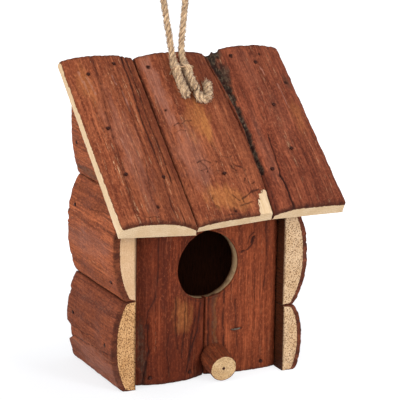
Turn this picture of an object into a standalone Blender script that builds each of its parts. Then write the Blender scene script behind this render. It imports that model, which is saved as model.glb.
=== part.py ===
"""A hanging bird nest box, nailed together from slabs that still carry their bark.

Metres, +Z up. The entrance faces -Y, +X is to the right of someone who faces it, and the box
stands on its flat base at z = 0, with the middle of its outline over the origin.

Each slab is a piece sawn off the outside of a log: flat behind, crowned and barked in front.
The side walls stand outside the front and back walls, which hold the floor between them, and
the sloping roof slabs lie on the tops of all four.
"""
import math

import bmesh
import bpy
from mathutils import Matrix, Vector

# The box
INNER_WIDTH = 0.093
SIDE_DEPTH = 0.073
END_WALL_INSET = 0.014
FIT_GAP = 0.0003
WALL_LIFT = 0.0005
CUT_OVERRUN = 0.02
WELD_DISTANCE = 0.000001

# The roof, whose seams are measured from its left edge
ROOF_SLOPE = math.radians(41.5)
ROOF_OVERHANG = 0.0166
ROOF_BACK_OVERHANG = 0.0004
EAVES_HEIGHT = 0.0958
ROOF_SET_RIGHT = 0.00525
ROOF_END_LEAN = math.radians(11.5)
ROOF_WIDTH = 0.1407
LEFT_SEAM = 0.0464
RIGHT_SEAM_FRONT = 0.0948
RIGHT_SEAM_BACK = 0.0915
RIGHT_SEAM_BOW = 0.0031

# The heights of the side walls' courses from the base up, as shares of the eaves' height; the top
# one fills in up to the roof
LEFT_COURSE_SHARES = (0.5512, 0.6158)
RIGHT_COURSE_SHARES = (0.4155, 0.6075, 0.4593)
TOP_COURSE_TRIM = 0.0020

# The seams of the front and back walls
FRONT_SEAM_X = 0.0006
BACK_SEAM_X = -0.0040

# The thicknesses of each roof slab at its left edge, crown and right edge, at the eaves and at
# the top end, and how far its front end's two corners stand ahead of the eaves line
ROOF_THICKNESSES = (
    ((0.0078, 0.0117, 0.0056), (0.0048, 0.0090, 0.0036)),
    ((0.0052, 0.0073, 0.0064), (0.0040, 0.0077, 0.0042)),
    ((0.0047, 0.0092, 0.0084), (0.0032, 0.0095, 0.0048)),
)
ROOF_ENDS_AHEAD = ((0.0012, 0.0043), (0.0022, -0.0011), (-0.0011, -0.0011))
ROOF_CROWN_SHARES = (0.44, 0.46, 0.48)

# The thicknesses of each side slab at its lower edge, crown and upper edge, at the front and at
# the back, and how far its front end stands ahead of the wall
LEFT_THICKNESSES = (
    ((0.0092, 0.0155, 0.0088), (0.0090, 0.0134, 0.0084)),
    ((0.0074, 0.0143, 0.0070), (0.0078, 0.0130, 0.0066)),
    ((0.0068, 0.0120, 0.0060), (0.0066, 0.0114, 0.0060)),
)
RIGHT_THICKNESSES = (
    ((0.0092, 0.0128, 0.0080), (0.0094, 0.0136, 0.0084)),
    ((0.0082, 0.0158, 0.0086), (0.0080, 0.0146, 0.0080)),
    ((0.0084, 0.0132, 0.0082), (0.0082, 0.0128, 0.0080)),
    ((0.0080, 0.0118, 0.0070), (0.0078, 0.0120, 0.0070)),
)
LEFT_ENDS_AHEAD = (0.0005, 0.0, 0.0)
RIGHT_ENDS_AHEAD = (0.0015, 0.0, 0.0, 0.0)
SIDE_CROWN_SHARE = 0.5

# The thicknesses of each upright wall slab at its left edge, crown and right edge, as seen from
# outside, at the base and at the top
FRONT_THICKNESSES = (
    ((0.0074, 0.0130, 0.0056), (0.0078, 0.0122, 0.0058)),
    ((0.0056, 0.0088, 0.0068), (0.0060, 0.0092, 0.0072)),
)
BACK_THICKNESSES = (
    ((0.0062, 0.0106, 0.0066), (0.0060, 0.0112, 0.0064)),
    ((0.0064, 0.0112, 0.0062), (0.0062, 0.0104, 0.0060)),
)
FRONT_CROWN_SHARES = (0.42, 0.55)
BACK_CROWN_SHARES = (0.5, 0.5)

# How a slab's barked face is shaped: how flat its crown is, and how it waves along the grain
CROWN_POWER = 2.4
RIPPLE_HEIGHT = 0.00035
RIPPLES_ALONG = 2.3
SLAB_STATIONS = 8
SLAB_POINTS_ACROSS = 12

# The entrance, perch, floor and batten
ENTRANCE_DIAMETER = 0.040
ENTRANCE_X = 0.0
ENTRANCE_Z = 0.067
ENTRANCE_SIDES = 48
PERCH_ROOT_RADIUS = 0.0086
PERCH_FACE_RADIUS = 0.0080
PERCH_EDGE_ROUND = 0.0006
PERCH_LENGTH = 0.0150
PERCH_ROOT_X = 0.0062
PERCH_ROOT_Z = 0.0115
PERCH_SOCKET_FLOOR = 0.0070
PERCH_DROOP = math.radians(11)
PERCH_SWING = math.radians(3)
PERCH_SIDES = 28
FLOOR_THICKNESS = 0.006
FLOOR_UNDERSIDE = 0.002
BATTEN_LENGTH = 0.080
BATTEN_HEIGHT = 0.010
BATTEN_THICKNESS = 0.008
BATTEN_Z = 0.027
SAWN_EDGE_ROUND = 0.0004

# The brads, and how far from a wall's inner face they enter its edge
BRAD_SHANK_RADIUS = 0.0006
BRAD_HEAD_RADIUS = 0.0010
BRAD_HEAD_THICKNESS = 0.0005
BRAD_POINT_LENGTH = 0.0015
BRAD_HOLE_CLEARANCE = 0.0003
BRAD_SINK = 0.0003
BRAD_SIDES = 8
ROOF_BRAD_LENGTH = 0.018
SIDE_BRAD_LENGTH = 0.025
FLOOR_BRAD_LENGTH = 0.022
PERCH_NAIL_LENGTH = 0.021
LEFT_WALL_INSET = 0.0058
RIGHT_WALL_INSET = 0.0084
FRONT_WALL_INSET = 0.0076
BACK_WALL_INSET = 0.0043
COURSE_INSET = 0.0043

# Where the roof brads enter the walls: along the side walls, as shares of their depth from its
# middle, and across the front and back walls, as shares of half the inner width
LEFT_WALL_SHARES = (0.363, -0.040, -0.379)
RIGHT_WALL_SHARES = (0.371, 0.038, -0.287)
FRONT_WALL_SHARES = (-0.652, 0.172, 0.832)
BACK_WALL_SHARES = (-0.738, -0.269, 0.880)
# Where the side brads enter the front and the back wall, as shares of each course's height
LEFT_FRONT_SHARES = ((0.49,), (0.16,), ())
LEFT_BACK_SHARES = ((0.57,), (0.72,), (0.31, 0.59))
RIGHT_FRONT_SHARES = ((0.50,), (0.45,), (0.16,), ())
RIGHT_BACK_SHARES = ((0.55,), (0.59,), (0.45,), (0.31,))
# Where the floor brads stand across the front and the back wall, as shares of half the inner width
FRONT_FLOOR_SHARES = (-0.774, -0.226, 0.783)
BACK_FLOOR_SHARES = (-0.645, 0.602)

# The staples
STAPLE_WIRE_RADIUS = 0.0005
STAPLE_BEND_RADIUS = 0.0010
FRONT_STAPLE_CROWN = 0.0050
FRONT_STAPLE_LEG = 0.013
FRONT_STAPLE_X = 0.0194
FRONT_STAPLE_TILT = math.radians(4)
CORD_STAPLE_LEG = 0.009
CORD_STAPLE_SLACK = 0.0006

# The hanging cord
CORD_DIAMETER = 0.0039
CORD_POINT_SPACING = 0.0078
CURL_POINT_SPACING = 0.0020
CURVE_STEPS = 24
# Its route, measured from the middle of the roof's top end along the box's own axes: the left tail
# on the roof, up over the top end to the loop, and down again
CORD_ROUTE = (
    (-0.0034, -0.03455, -0.01673),
    (-0.0038, -0.02995, -0.01263),
    (-0.0040, -0.02465, -0.00793),
    (-0.0039, -0.01955, -0.00343),
    (-0.0037, -0.01545, 0.00027),
    (-0.0038, -0.01325, 0.00457),
    (-0.0047, -0.01265, 0.01037),
    (-0.0059, -0.01265, 0.01707),
    (-0.0072, -0.01265, 0.02357),
    (-0.0084, -0.01265, 0.03057),
    (-0.0098, -0.01265, 0.03757),
    (-0.0109, -0.01265, 0.04457),
    (-0.0099, -0.01265, 0.04907),
    (-0.0070, -0.01265, 0.05227),
    (-0.0027, -0.01265, 0.05357),
    (0.0016, -0.01265, 0.05227),
    (0.0045, -0.01265, 0.04907),
    (0.0054, -0.01265, 0.04457),
    (0.0046, -0.01265, 0.03757),
    (0.0038, -0.01265, 0.03077),
    (0.0033, -0.01265, 0.02357),
    (0.0026, -0.01265, 0.01657),
    (0.0022, -0.01265, 0.01057),
    (0.0022, -0.01325, 0.00457),
    (0.0026, -0.01545, 0.00027),
    (0.0028, -0.01955, -0.00343),
    (0.0030, -0.02465, -0.00793),
    (0.0037, -0.02915, -0.01183),
    (0.0039, -0.03125, -0.01373),
)
LEFT_STAPLED_POINT = 3
RIGHT_STAPLED_POINT = -4
# Its frayed end, which curls on the roof and turns back up the slope
CURL_ROUTE = (
    (0.0040, -0.03150, -0.01398),
    (0.0040, -0.03325, -0.01553),
    (0.0047, -0.03525, -0.01733),
    (0.0070, -0.03605, -0.01813),
    (0.0094, -0.03465, -0.01743),
    (0.0109, -0.03205, -0.01523),
    (0.0119, -0.02865, -0.01233),
    (0.0127, -0.02625, -0.01033),
)

# Colours
BARK_RED = (0.165, 0.045, 0.022)
BARK_DARK = (0.120, 0.036, 0.020)
SAWN_PALE = (0.640, 0.420, 0.200)
STEEL_GREY = (0.200, 0.190, 0.180)
JUTE_TAN = (0.460, 0.300, 0.150)
SMOOTH_ANGLE = math.radians(35)

HALF_WIDTH = INNER_WIDTH / 2
HALF_DEPTH = SIDE_DEPTH / 2
HALF_INNER_DEPTH = HALF_DEPTH - END_WALL_INSET
INNER_DEPTH = 2 * HALF_INNER_DEPTH
QUARTER_TURN = math.pi / 2
ROOF_LENGTH = (ROOF_OVERHANG + SIDE_DEPTH + ROOF_BACK_OVERHANG) / math.cos(ROOF_SLOPE)
ROOF_LEFT_X = ROOF_SET_RIGHT - ROOF_WIDTH / 2
EAVES_Y = -HALF_DEPTH - ROOF_OVERHANG
LEFT_SIDE = FRONT_SIDE = -1
RIGHT_SIDE = BACK_SIDE = 1


def clear_scene():
    for thing in list(bpy.data.objects):
        bpy.data.objects.remove(thing, do_unlink=True)


def new_collection(name):
    collection = bpy.data.collections.new(name)
    bpy.context.scene.collection.children.link(collection)
    return collection


def new_material(name, colour, roughness, metallic):
    material = bpy.data.materials.new(name)
    material.use_nodes = True
    shader = material.node_tree.nodes["Principled BSDF"]
    shader.inputs["Base Color"].default_value = (*colour, 1)
    shader.inputs["Roughness"].default_value = roughness
    shader.inputs["Metallic"].default_value = metallic
    material.diffuse_color = (*colour, 1)
    return material


class Workshop:
    """The collections and materials that every piece is made with."""

    def __init__(self):
        self.parts = new_collection("bird_nest_box")
        self.cutters = new_collection("cutters")
        self.bark = new_material("bark", BARK_RED, 0.85, 0)
        self.dark_bark = new_material("dark_bark", BARK_DARK, 0.9, 0)
        self.sawn = new_material("sawn_wood", SAWN_PALE, 0.75, 0)
        self.steel = new_material("steel", STEEL_GREY, 0.45, 1)
        self.jute = new_material("jute", JUTE_TAN, 0.95, 0)


def blend(near, far, share):
    return near + (far - near) * share


def place_of(origin, turn_x=0, turn_y=0, turn_z=0):
    """A frame at a point, turned about x first and z last, in radians."""
    turn = Matrix.Rotation(turn_z, 4, "Z") @ Matrix.Rotation(turn_y, 4, "Y")
    return Matrix.Translation(origin) @ turn @ Matrix.Rotation(turn_x, 4, "X")


def roof_frame():
    """x to the right from the roof's left edge, y up the slope, z out of its underside."""
    return place_of((ROOF_LEFT_X, EAVES_Y, EAVES_HEIGHT), ROOF_SLOPE)


def slope_height(y):
    """How high the roof's underside is over a line across the box."""
    return EAVES_HEIGHT + (y - EAVES_Y) * math.tan(ROOF_SLOPE)


class Slab:
    """A slab in its own frame: x across its width, y along its grain, z through its thickness."""

    def __init__(self, name, length, lefts, rights, thicknesses, crown_share, matrix):
        self.name = name
        self.length = length
        self.lefts = lefts
        self.rights = rights
        self.thicknesses = thicknesses
        self.crown_share = crown_share
        self.matrix = matrix
        self.bows = (0.0, 0.0)
        self.ends_ahead = (0.0, 0.0)
        self.end_lean = 0.0
        self.phase = sum(ord(letter) for letter in name)

    def sides(self, along_share):
        bend = math.sin(math.pi * along_share)
        left = blend(*self.lefts, along_share) + self.bows[0] * bend
        right = blend(*self.rights, along_share) + self.bows[1] * bend
        return left, right

    def thickness(self, across_share, along_share):
        near, far = self.thicknesses
        left, crown, right = (blend(a, b, along_share) for a, b in zip(near, far))
        if across_share < self.crown_share:
            edge = left
            away_share = 1 - across_share / self.crown_share
        else:
            edge = right
            away_share = (across_share - self.crown_share) / (1 - self.crown_share)
        rise = (crown - edge) * (1 - away_share**CROWN_POWER)
        wave = math.sin(math.tau * RIPPLES_ALONG * along_share + self.phase)
        return edge + rise + RIPPLE_HEIGHT * wave * (1 - away_share**2)

    def front(self, across_share, height):
        """Where the slab begins along its grain, at a height over its flat face."""
        return height * math.tan(self.end_lean) - blend(*self.ends_ahead, across_share)

    def station(self, along_share):
        """The closed section at a share of the length, with its flat face last."""
        left, right = self.sides(along_share)
        ring = []
        for i in range(SLAB_POINTS_ACROSS + 1):
            across_share = i / SLAB_POINTS_ACROSS
            height = self.thickness(across_share, along_share)
            along = blend(self.front(across_share, height), self.length, along_share)
            ring.append(Vector((blend(left, right, across_share), along, height)))
        for across, across_share in ((right, 1), (left, 0)):
            along = blend(self.front(across_share, 0), self.length, along_share)
            ring.append(Vector((across, along, 0)))
        return ring

    def height_over(self, across, along):
        """How thick the slab is over a point of its flat face."""
        front = self.front(0.5, 0)
        along_share = (along - front) / (self.length - front)
        left, right = self.sides(along_share)
        return self.thickness((across - left) / (right - left), along_share)

    def face_point(self, entry, direction):
        """Where a line that is driven through the slab to an entry point starts on its bark."""
        inverse = self.matrix.inverted()
        start = inverse @ Vector(entry)
        back = inverse.to_3x3() @ -Vector(direction)
        reach = 0.0
        for _ in range(4):
            point = start + back * reach
            reach = self.height_over(point.x, point.y) / back.z
        return self.matrix @ (start + back * reach)

    def mesh(self):
        shape = bmesh.new()
        rings = []
        for i in range(SLAB_STATIONS + 1):
            rings.append([shape.verts.new(point) for point in self.station(i / SLAB_STATIONS)])
        for near, far in zip(rings, rings[1:]):
            for i, point in enumerate(near):
                j = (i + 1) % len(near)
                shape.faces.new((point, near[j], far[j], far[i]))
        shape.faces.new(rings[0])
        shape.faces.new(rings[-1])
        bmesh.ops.recalc_face_normals(shape, faces=shape.faces)
        return shape


def finish(shape, name, collection, material, matrix=None):
    """Makes an object of a shape and places it."""
    mesh = bpy.data.meshes.new(name)
    shape.to_mesh(mesh)
    shape.free()
    mesh.materials.append(material)
    mesh.shade_smooth()
    mesh.set_sharp_from_angle(angle=SMOOTH_ANGLE)
    made = bpy.data.objects.new(name, mesh)
    collection.objects.link(made)
    if matrix is not None:
        made.matrix_world = matrix
    return made


def finish_cutter(shape, name, shop, matrix=None):
    cutter = finish(shape, name, shop.cutters, shop.sawn, matrix)
    cutter.hide_render = True
    cutter.display_type = "WIRE"
    return cutter


def cut(targets, cutter):
    for target in targets:
        modifier = target.modifiers.new("cut by " + cutter.name, "BOOLEAN")
        modifier.operation = "DIFFERENCE"
        modifier.solver = "EXACT"
        modifier.object = cutter


def box_shape(size):
    shape = bmesh.new()
    bmesh.ops.create_cube(shape, size=1)
    bmesh.ops.scale(shape, vec=size, verts=shape.verts)
    return shape


def turned_shape(profile, sides):
    """A solid of revolution round z; the profile runs from axis to axis, as radius and height."""
    shape = bmesh.new()
    points = [shape.verts.new((radius, 0, height)) for radius, height in profile]
    edges = [shape.edges.new(pair) for pair in zip(points, points[1:])]
    bmesh.ops.spin(
        shape,
        geom=points + edges,
        axis=(0, 0, 1),
        cent=(0, 0, 0),
        steps=sides,
        angle=math.tau,
        use_merge=True,
    )
    bmesh.ops.remove_doubles(shape, verts=shape.verts, dist=WELD_DISTANCE)
    bmesh.ops.recalc_face_normals(shape, faces=shape.faces)
    return shape


def copies_of(unit, matrices):
    """One shape that holds a copy of a unit shape at each place."""
    shape = bmesh.new()
    unit.verts.index_update()
    for matrix in matrices:
        points = [shape.verts.new(matrix @ point.co) for point in unit.verts]
        for face in unit.faces:
            shape.faces.new([points[point.index] for point in face.verts])
    unit.free()
    return shape


def make_slabs(slabs, material, shop):
    """The objects of a wall's or the roof's slabs."""
    return [finish(slab.mesh(), slab.name, shop.parts, material, slab.matrix) for slab in slabs]


def roof_slabs():
    half_gap = FIT_GAP / 2
    lefts = (
        (0.0, 0.0),
        (LEFT_SEAM + half_gap, LEFT_SEAM + half_gap),
        (RIGHT_SEAM_FRONT + half_gap, RIGHT_SEAM_BACK + half_gap),
    )
    rights = (
        (LEFT_SEAM - half_gap, LEFT_SEAM - half_gap),
        (RIGHT_SEAM_FRONT - half_gap, RIGHT_SEAM_BACK - half_gap),
        (ROOF_WIDTH, ROOF_WIDTH),
    )
    bows = ((0.0, 0.0), (0.0, RIGHT_SEAM_BOW), (RIGHT_SEAM_BOW, 0.0))
    slabs = []
    for i, place in enumerate(("left", "middle", "right")):
        slab = Slab(
            f"roof_slab_{place}",
            ROOF_LENGTH,
            lefts[i],
            rights[i],
            ROOF_THICKNESSES[i],
            ROOF_CROWN_SHARES[i],
            roof_frame(),
        )
        slab.bows = bows[i]
        slab.ends_ahead = ROOF_ENDS_AHEAD[i]
        slab.end_lean = ROOF_END_LEAN
        slabs.append(slab)
    return slabs


def side_slabs(side, places, shares, thicknesses, ends_ahead):
    """The courses of one side wall, from the base up."""
    side_name = "left" if side == LEFT_SIDE else "right"
    heights = [share * EAVES_HEIGHT for share in shares]
    rest = slope_height(HALF_DEPTH) + TOP_COURSE_TRIM - sum(heights)
    slabs = []
    low = 0.0
    for i, height in enumerate((*heights, rest)):
        width = height - FIT_GAP
        if side == LEFT_SIDE:
            origin = (-HALF_WIDTH, -HALF_DEPTH, low)
            sizes = thicknesses[i]
        else:
            origin = (HALF_WIDTH, -HALF_DEPTH, low + width)
            sizes = [tuple(reversed(end)) for end in thicknesses[i]]
        name = f"side_slab_{side_name}_{places[i]}"
        matrix = place_of(origin, 0, side * QUARTER_TURN)
        slab = Slab(name, SIDE_DEPTH, (0, 0), (width, width), sizes, SIDE_CROWN_SHARE, matrix)
        slab.ends_ahead = (ends_ahead[i], ends_ahead[i])
        slabs.append(slab)
        low += height
    return slabs


def wall_slabs(side, seam, thicknesses, crown_shares):
    """The two upright slabs of the front or the back wall, the left one of the whole box first."""
    wall_name = "front" if side == FRONT_SIDE else "back"
    outer = HALF_WIDTH - FIT_GAP
    spans = ((-outer, seam - FIT_GAP / 2), (seam + FIT_GAP / 2, outer))
    height = slope_height(side * HALF_INNER_DEPTH) + CUT_OVERRUN
    slabs = []
    for i, place in enumerate(("left", "right")):
        left, right = spans[i]
        if side == FRONT_SIDE:
            matrix = place_of((left, -HALF_INNER_DEPTH, WALL_LIFT), QUARTER_TURN)
        else:
            matrix = place_of((right, HALF_INNER_DEPTH, WALL_LIFT), QUARTER_TURN, 0, math.pi)
        name = f"{wall_name}_slab_{place}"
        width = right - left
        ends = ((0, 0), (width, width))
        slabs.append(Slab(name, height, *ends, thicknesses[i], crown_shares[i], matrix))
    return slabs


def trim_to_roof(walls, shop):
    """Cuts the walls off along the slope, a fit's gap under the roof slabs."""
    size = Vector((ROOF_WIDTH, ROOF_LENGTH, ROOF_LENGTH))
    middle = Vector((size.x / 2, size.y / 2, size.z / 2 - FIT_GAP))
    size += Vector((CUT_OVERRUN, INNER_DEPTH, 0))
    matrix = roof_frame() @ Matrix.Translation(middle)
    cut(walls, finish_cutter(box_shape(size), "roof_space", shop, matrix))


def bore_entrance(fronts, shop):
    shape = bmesh.new()
    radius = ENTRANCE_DIAMETER / 2
    bmesh.ops.create_cone(
        shape,
        cap_ends=True,
        segments=ENTRANCE_SIDES,
        radius1=radius,
        radius2=radius,
        depth=INNER_DEPTH,
    )
    matrix = place_of((ENTRANCE_X, -HALF_DEPTH, ENTRANCE_Z), QUARTER_TURN)
    cut(fronts, finish_cutter(shape, "entrance_bore", shop, matrix))


def add_board(name, size, centre, shop):
    board = finish(box_shape(size), name, shop.parts, shop.sawn, Matrix.Translation(centre))
    edge = board.modifiers.new("sawn edge", "BEVEL")
    edge.width = SAWN_EDGE_ROUND
    edge.segments = 1
    return board


def add_floor(shop):
    size = (INNER_WIDTH - 2 * FIT_GAP, INNER_DEPTH - 2 * FIT_GAP, FLOOR_THICKNESS)
    return add_board("floor_board", size, (0, 0, FLOOR_UNDERSIDE + FLOOR_THICKNESS / 2), shop)


def add_batten(shop):
    size = (BATTEN_LENGTH, BATTEN_THICKNESS, BATTEN_HEIGHT)
    y = -HALF_INNER_DEPTH + FIT_GAP + BATTEN_THICKNESS / 2
    return add_board("front_batten", size, (0, y, BATTEN_Z), shop)


def holder(slabs, axis, value):
    """The slab of a wall or roof that spans a value along a world axis."""
    for slab in slabs[:-1]:
        ends = [(slab.matrix @ Vector((across, 0, 0)))[axis] for across in slab.sides(0)]
        if min(ends) <= value <= max(ends):
            return slab
    return slabs[-1]


def driven(slabs, axis, entry, direction):
    """A frame on the bark, z outwards, for what is driven through a slab to an entry point."""
    slab = holder(slabs, axis, entry[axis])
    start = slab.face_point(entry, direction) + direction * BRAD_SINK
    turn = Vector((0, 0, -1)).rotation_difference(direction)
    return Matrix.Translation(start) @ turn.to_matrix().to_4x4()


def brad_profile(length, clearance, overrun):
    """From the middle of the head to the point, in a frame whose z comes out of the head."""
    head = BRAD_HEAD_RADIUS + clearance
    shank = BRAD_SHANK_RADIUS + clearance
    under_head = -BRAD_HEAD_THICKNESS - clearance
    point = -length - clearance
    return (
        (0, overrun),
        (head, overrun),
        (head, under_head),
        (shank, under_head),
        (shank, point + BRAD_POINT_LENGTH),
        (0, point),
    )


def add_brads(name, matrices, length, targets, shop):
    """Brads that share one mesh, and the holes that they are driven into."""
    shape = turned_shape(brad_profile(length, 0, 0), BRAD_SIDES)
    mesh = None
    for i, matrix in enumerate(matrices):
        brad_name = f"{name}_{i + 1}" if len(matrices) > 1 else name
        if mesh is None:
            mesh = finish(shape, brad_name, shop.parts, shop.steel, matrix).data
        else:
            brad = bpy.data.objects.new(brad_name, mesh)
            shop.parts.objects.link(brad)
            brad.matrix_world = matrix
    hole = turned_shape(brad_profile(length, BRAD_HOLE_CLEARANCE, CUT_OVERRUN), BRAD_SIDES)
    cut(targets, finish_cutter(copies_of(hole, matrices), name + "_holes", shop))


def roof_brad_places(roofs):
    """Square to the slope into the front and side walls, and plumb into the thin back wall."""
    square = Vector((0, math.sin(ROOF_SLOPE), -math.cos(ROOF_SLOPE)))
    plumb = Vector((0, 0, -1))
    spots = []
    for share in LEFT_WALL_SHARES:
        spots.append((-HALF_WIDTH - LEFT_WALL_INSET, share * SIDE_DEPTH, square))
    for share in RIGHT_WALL_SHARES:
        spots.append((HALF_WIDTH + RIGHT_WALL_INSET, share * SIDE_DEPTH, square))
    for share in FRONT_WALL_SHARES:
        spots.append((share * HALF_WIDTH, -HALF_INNER_DEPTH - FRONT_WALL_INSET, square))
    for share in BACK_WALL_SHARES:
        spots.append((share * HALF_WIDTH, HALF_INNER_DEPTH + BACK_WALL_INSET, plumb))
    return [
        driven(roofs, 0, Vector((x, y, slope_height(y))), direction) for x, y, direction in spots
    ]


def side_brad_places(side, slabs, front_shares, back_shares):
    """Level, through each course into the edges of the front and the back wall."""
    direction = Vector((-side, 0, 0))
    places = []
    for wall_side, all_shares in ((FRONT_SIDE, front_shares), (BACK_SIDE, back_shares)):
        y = wall_side * (HALF_INNER_DEPTH + COURSE_INSET)
        for slab, shares in zip(slabs, all_shares):
            edges = [(slab.matrix @ Vector((across, 0, 0))).z for across in slab.sides(0)]
            for share in shares:
                z = blend(min(edges), max(edges), share)
                places.append(driven([slab], 2, Vector((side * HALF_WIDTH, y, z)), direction))
    return places


def floor_brad_places(side, slabs, shares):
    """Level, through the front or the back wall into the floor board's edge."""
    z = FLOOR_UNDERSIDE + FLOOR_THICKNESS / 2
    direction = Vector((0, -side, 0))
    entries = [Vector((share * HALF_WIDTH, side * HALF_INNER_DEPTH, z)) for share in shares]
    return [driven(slabs, 0, entry, direction) for entry in entries]


def perch_profile(clearance, overrun):
    """From the root's middle out to the face's; z runs along the branch."""
    return (
        (0, -clearance),
        (PERCH_ROOT_RADIUS + clearance, -clearance),
        (PERCH_FACE_RADIUS + clearance, PERCH_LENGTH - PERCH_EDGE_ROUND + overrun),
        (PERCH_FACE_RADIUS - PERCH_EDGE_ROUND + clearance, PERCH_LENGTH + overrun),
        (0, PERCH_LENGTH + overrun),
    )


def add_perch(fronts, shop):
    """A stub of branch in a socket, held by a nail through its pith."""
    root = (PERCH_ROOT_X, -HALF_INNER_DEPTH - PERCH_SOCKET_FLOOR, PERCH_ROOT_Z)
    matrix = place_of(root, QUARTER_TURN + PERCH_DROOP, 0, -PERCH_SWING)
    shape = turned_shape(perch_profile(0, 0), PERCH_SIDES)
    perch = finish(shape, "perch", shop.parts, shop.bark, matrix)
    socket = turned_shape(perch_profile(FIT_GAP, CUT_OVERRUN), PERCH_SIDES)
    cut(fronts, finish_cutter(socket, "perch_socket", shop, matrix))
    face = matrix @ Matrix.Translation((0, 0, PERCH_LENGTH))
    add_brads("perch_nail", [face], PERCH_NAIL_LENGTH, [perch, *fronts], shop)


def on_roof(route, offset):
    """A route's points in the world, from where they stand to the roof's top end."""
    top = roof_frame() @ Vector((0, ROOF_LENGTH, 0)) + offset
    return [Vector((0, top.y, top.z)) + Vector(point) for point in route]


def curve_through(points, spacing):
    """Evenly spaced points of a smooth curve through a route's points."""
    fine = []
    for i, (here, there) in enumerate(zip(points, points[1:])):
        before = points[max(i - 1, 0)]
        after = points[min(i + 2, len(points) - 1)]
        cubic = -before + 3 * here - 3 * there + after
        square = 2 * before - 5 * here + 4 * there - after
        linear = there - before
        for k in range(CURVE_STEPS):
            t = k / CURVE_STEPS
            fine.append(here + (linear * t + square * t**2 + cubic * t**3) / 2)
    fine.append(points[-1])
    reaches = [0.0]
    for a, b in zip(fine, fine[1:]):
        reaches.append(reaches[-1] + (b - a).length)
    count = max(2, round(reaches[-1] / spacing))
    even = []
    at = 0
    for i in range(count + 1):
        want = reaches[-1] * i / count
        while at < len(fine) - 2 and reaches[at + 1] < want:
            at += 1
        share = (want - reaches[at]) / (reaches[at + 1] - reaches[at])
        even.append(fine[at].lerp(fine[at + 1], min(share, 1)))
    return even


def wire(name, points, radius, resolution, collection, material):
    """A curve with a round section and filled caps along a list of points."""
    data = bpy.data.curves.new(name, "CURVE")
    data.dimensions = "3D"
    data.bevel_depth = radius
    data.bevel_resolution = resolution
    data.use_fill_caps = True
    spline = data.splines.new("POLY")
    spline.points.add(len(points) - 1)
    for target, point in zip(spline.points, points):
        target.co = (*point, 1)
    data.materials.append(material)
    made = bpy.data.objects.new(name, data)
    collection.objects.link(made)
    return made


def shape_of(curve):
    """The closed shape of a curve object, which goes."""
    bpy.context.view_layer.update()
    graph = bpy.context.evaluated_depsgraph_get()
    mesh = bpy.data.meshes.new_from_object(curve.evaluated_get(graph))
    shape = bmesh.new()
    shape.from_mesh(mesh)
    bmesh.ops.transform(shape, matrix=curve.matrix_world, verts=shape.verts)
    bmesh.ops.remove_doubles(shape, verts=shape.verts, dist=WELD_DISTANCE)
    bmesh.ops.recalc_face_normals(shape, faces=shape.faces)
    bpy.data.objects.remove(curve, do_unlink=True)
    return shape


def staple_line(matrix, crown, leg, rise):
    """A staple's centre line: the crown along x at z = rise, and the legs down -z."""
    half = crown / 2
    bend = STAPLE_BEND_RADIUS
    line = [Vector((-half, 0, rise - leg))]
    for side, turns in ((-1, (0, 30, 60, 90)), (1, (90, 60, 30, 0))):
        for turn in turns:
            angle = math.radians(turn)
            across = side * (half - bend + bend * math.cos(angle))
            line.append(Vector((across, 0, rise - bend + bend * math.sin(angle))))
    line.append(Vector((half, 0, rise - leg)))
    return [matrix @ point for point in line]


def add_staple(name, matrix, crown, leg, rise, targets, shop):
    """A staple, and the groove and holes that it is driven into."""
    line = staple_line(matrix, crown, leg, rise)
    wire(name, line, STAPLE_WIRE_RADIUS, 1, shop.parts, shop.steel)
    deep_line = staple_line(matrix, crown, leg + FIT_GAP, rise)
    radius = STAPLE_WIRE_RADIUS + FIT_GAP
    guide = wire(name + "_guide", deep_line, radius, 1, shop.cutters, shop.steel)
    cut(targets, finish_cutter(shape_of(guide), name + "_groove", shop))


def add_front_staple(fronts, front_made, batten, shop):
    """Joins the front wall to the batten behind it."""
    entry = Vector((FRONT_STAPLE_X, -HALF_INNER_DEPTH, BATTEN_Z))
    start = holder(fronts, 0, entry.x).face_point(entry, (0, 1, 0))
    matrix = place_of(start, QUARTER_TURN) @ Matrix.Rotation(FRONT_STAPLE_TILT, 4, "Z")
    targets = [*front_made, batten]
    add_staple("front_staple", matrix, FRONT_STAPLE_CROWN, FRONT_STAPLE_LEG, 0, targets, shop)


def add_cord_staple(cord_points, offset, targets, shop):
    """Holds both strands of the cord down near the roof's top end."""
    left = cord_points[LEFT_STAPLED_POINT] - offset
    right = cord_points[RIGHT_STAPLED_POINT] - offset
    rise = CORD_DIAMETER / 2 + STAPLE_WIRE_RADIUS + CORD_STAPLE_SLACK
    crown = (right - left).length + 2 * rise
    leg = rise + CORD_DIAMETER / 2 + CORD_STAPLE_LEG
    matrix = place_of((left + right) / 2, ROOF_SLOPE)
    add_staple("cord_staple", matrix, crown, leg, rise, targets, shop)


def outline_offset():
    """How far the box moves to bring the middle of its outline over the origin."""
    (_, crown, _), _ = ROOF_THICKNESSES[0]
    lean = math.sin(ROOF_SLOPE) - math.tan(ROOF_END_LEAN) * math.cos(ROOF_SLOPE)
    ahead = blend(*ROOF_ENDS_AHEAD[0], ROOF_CROWN_SHARES[0])
    front = EAVES_Y - ahead * math.cos(ROOF_SLOPE) - crown * lean
    back = EAVES_Y + ROOF_LENGTH * math.cos(ROOF_SLOPE)
    return Vector((-ROOF_SET_RIGHT, -(front + back) / 2, 0))


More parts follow.
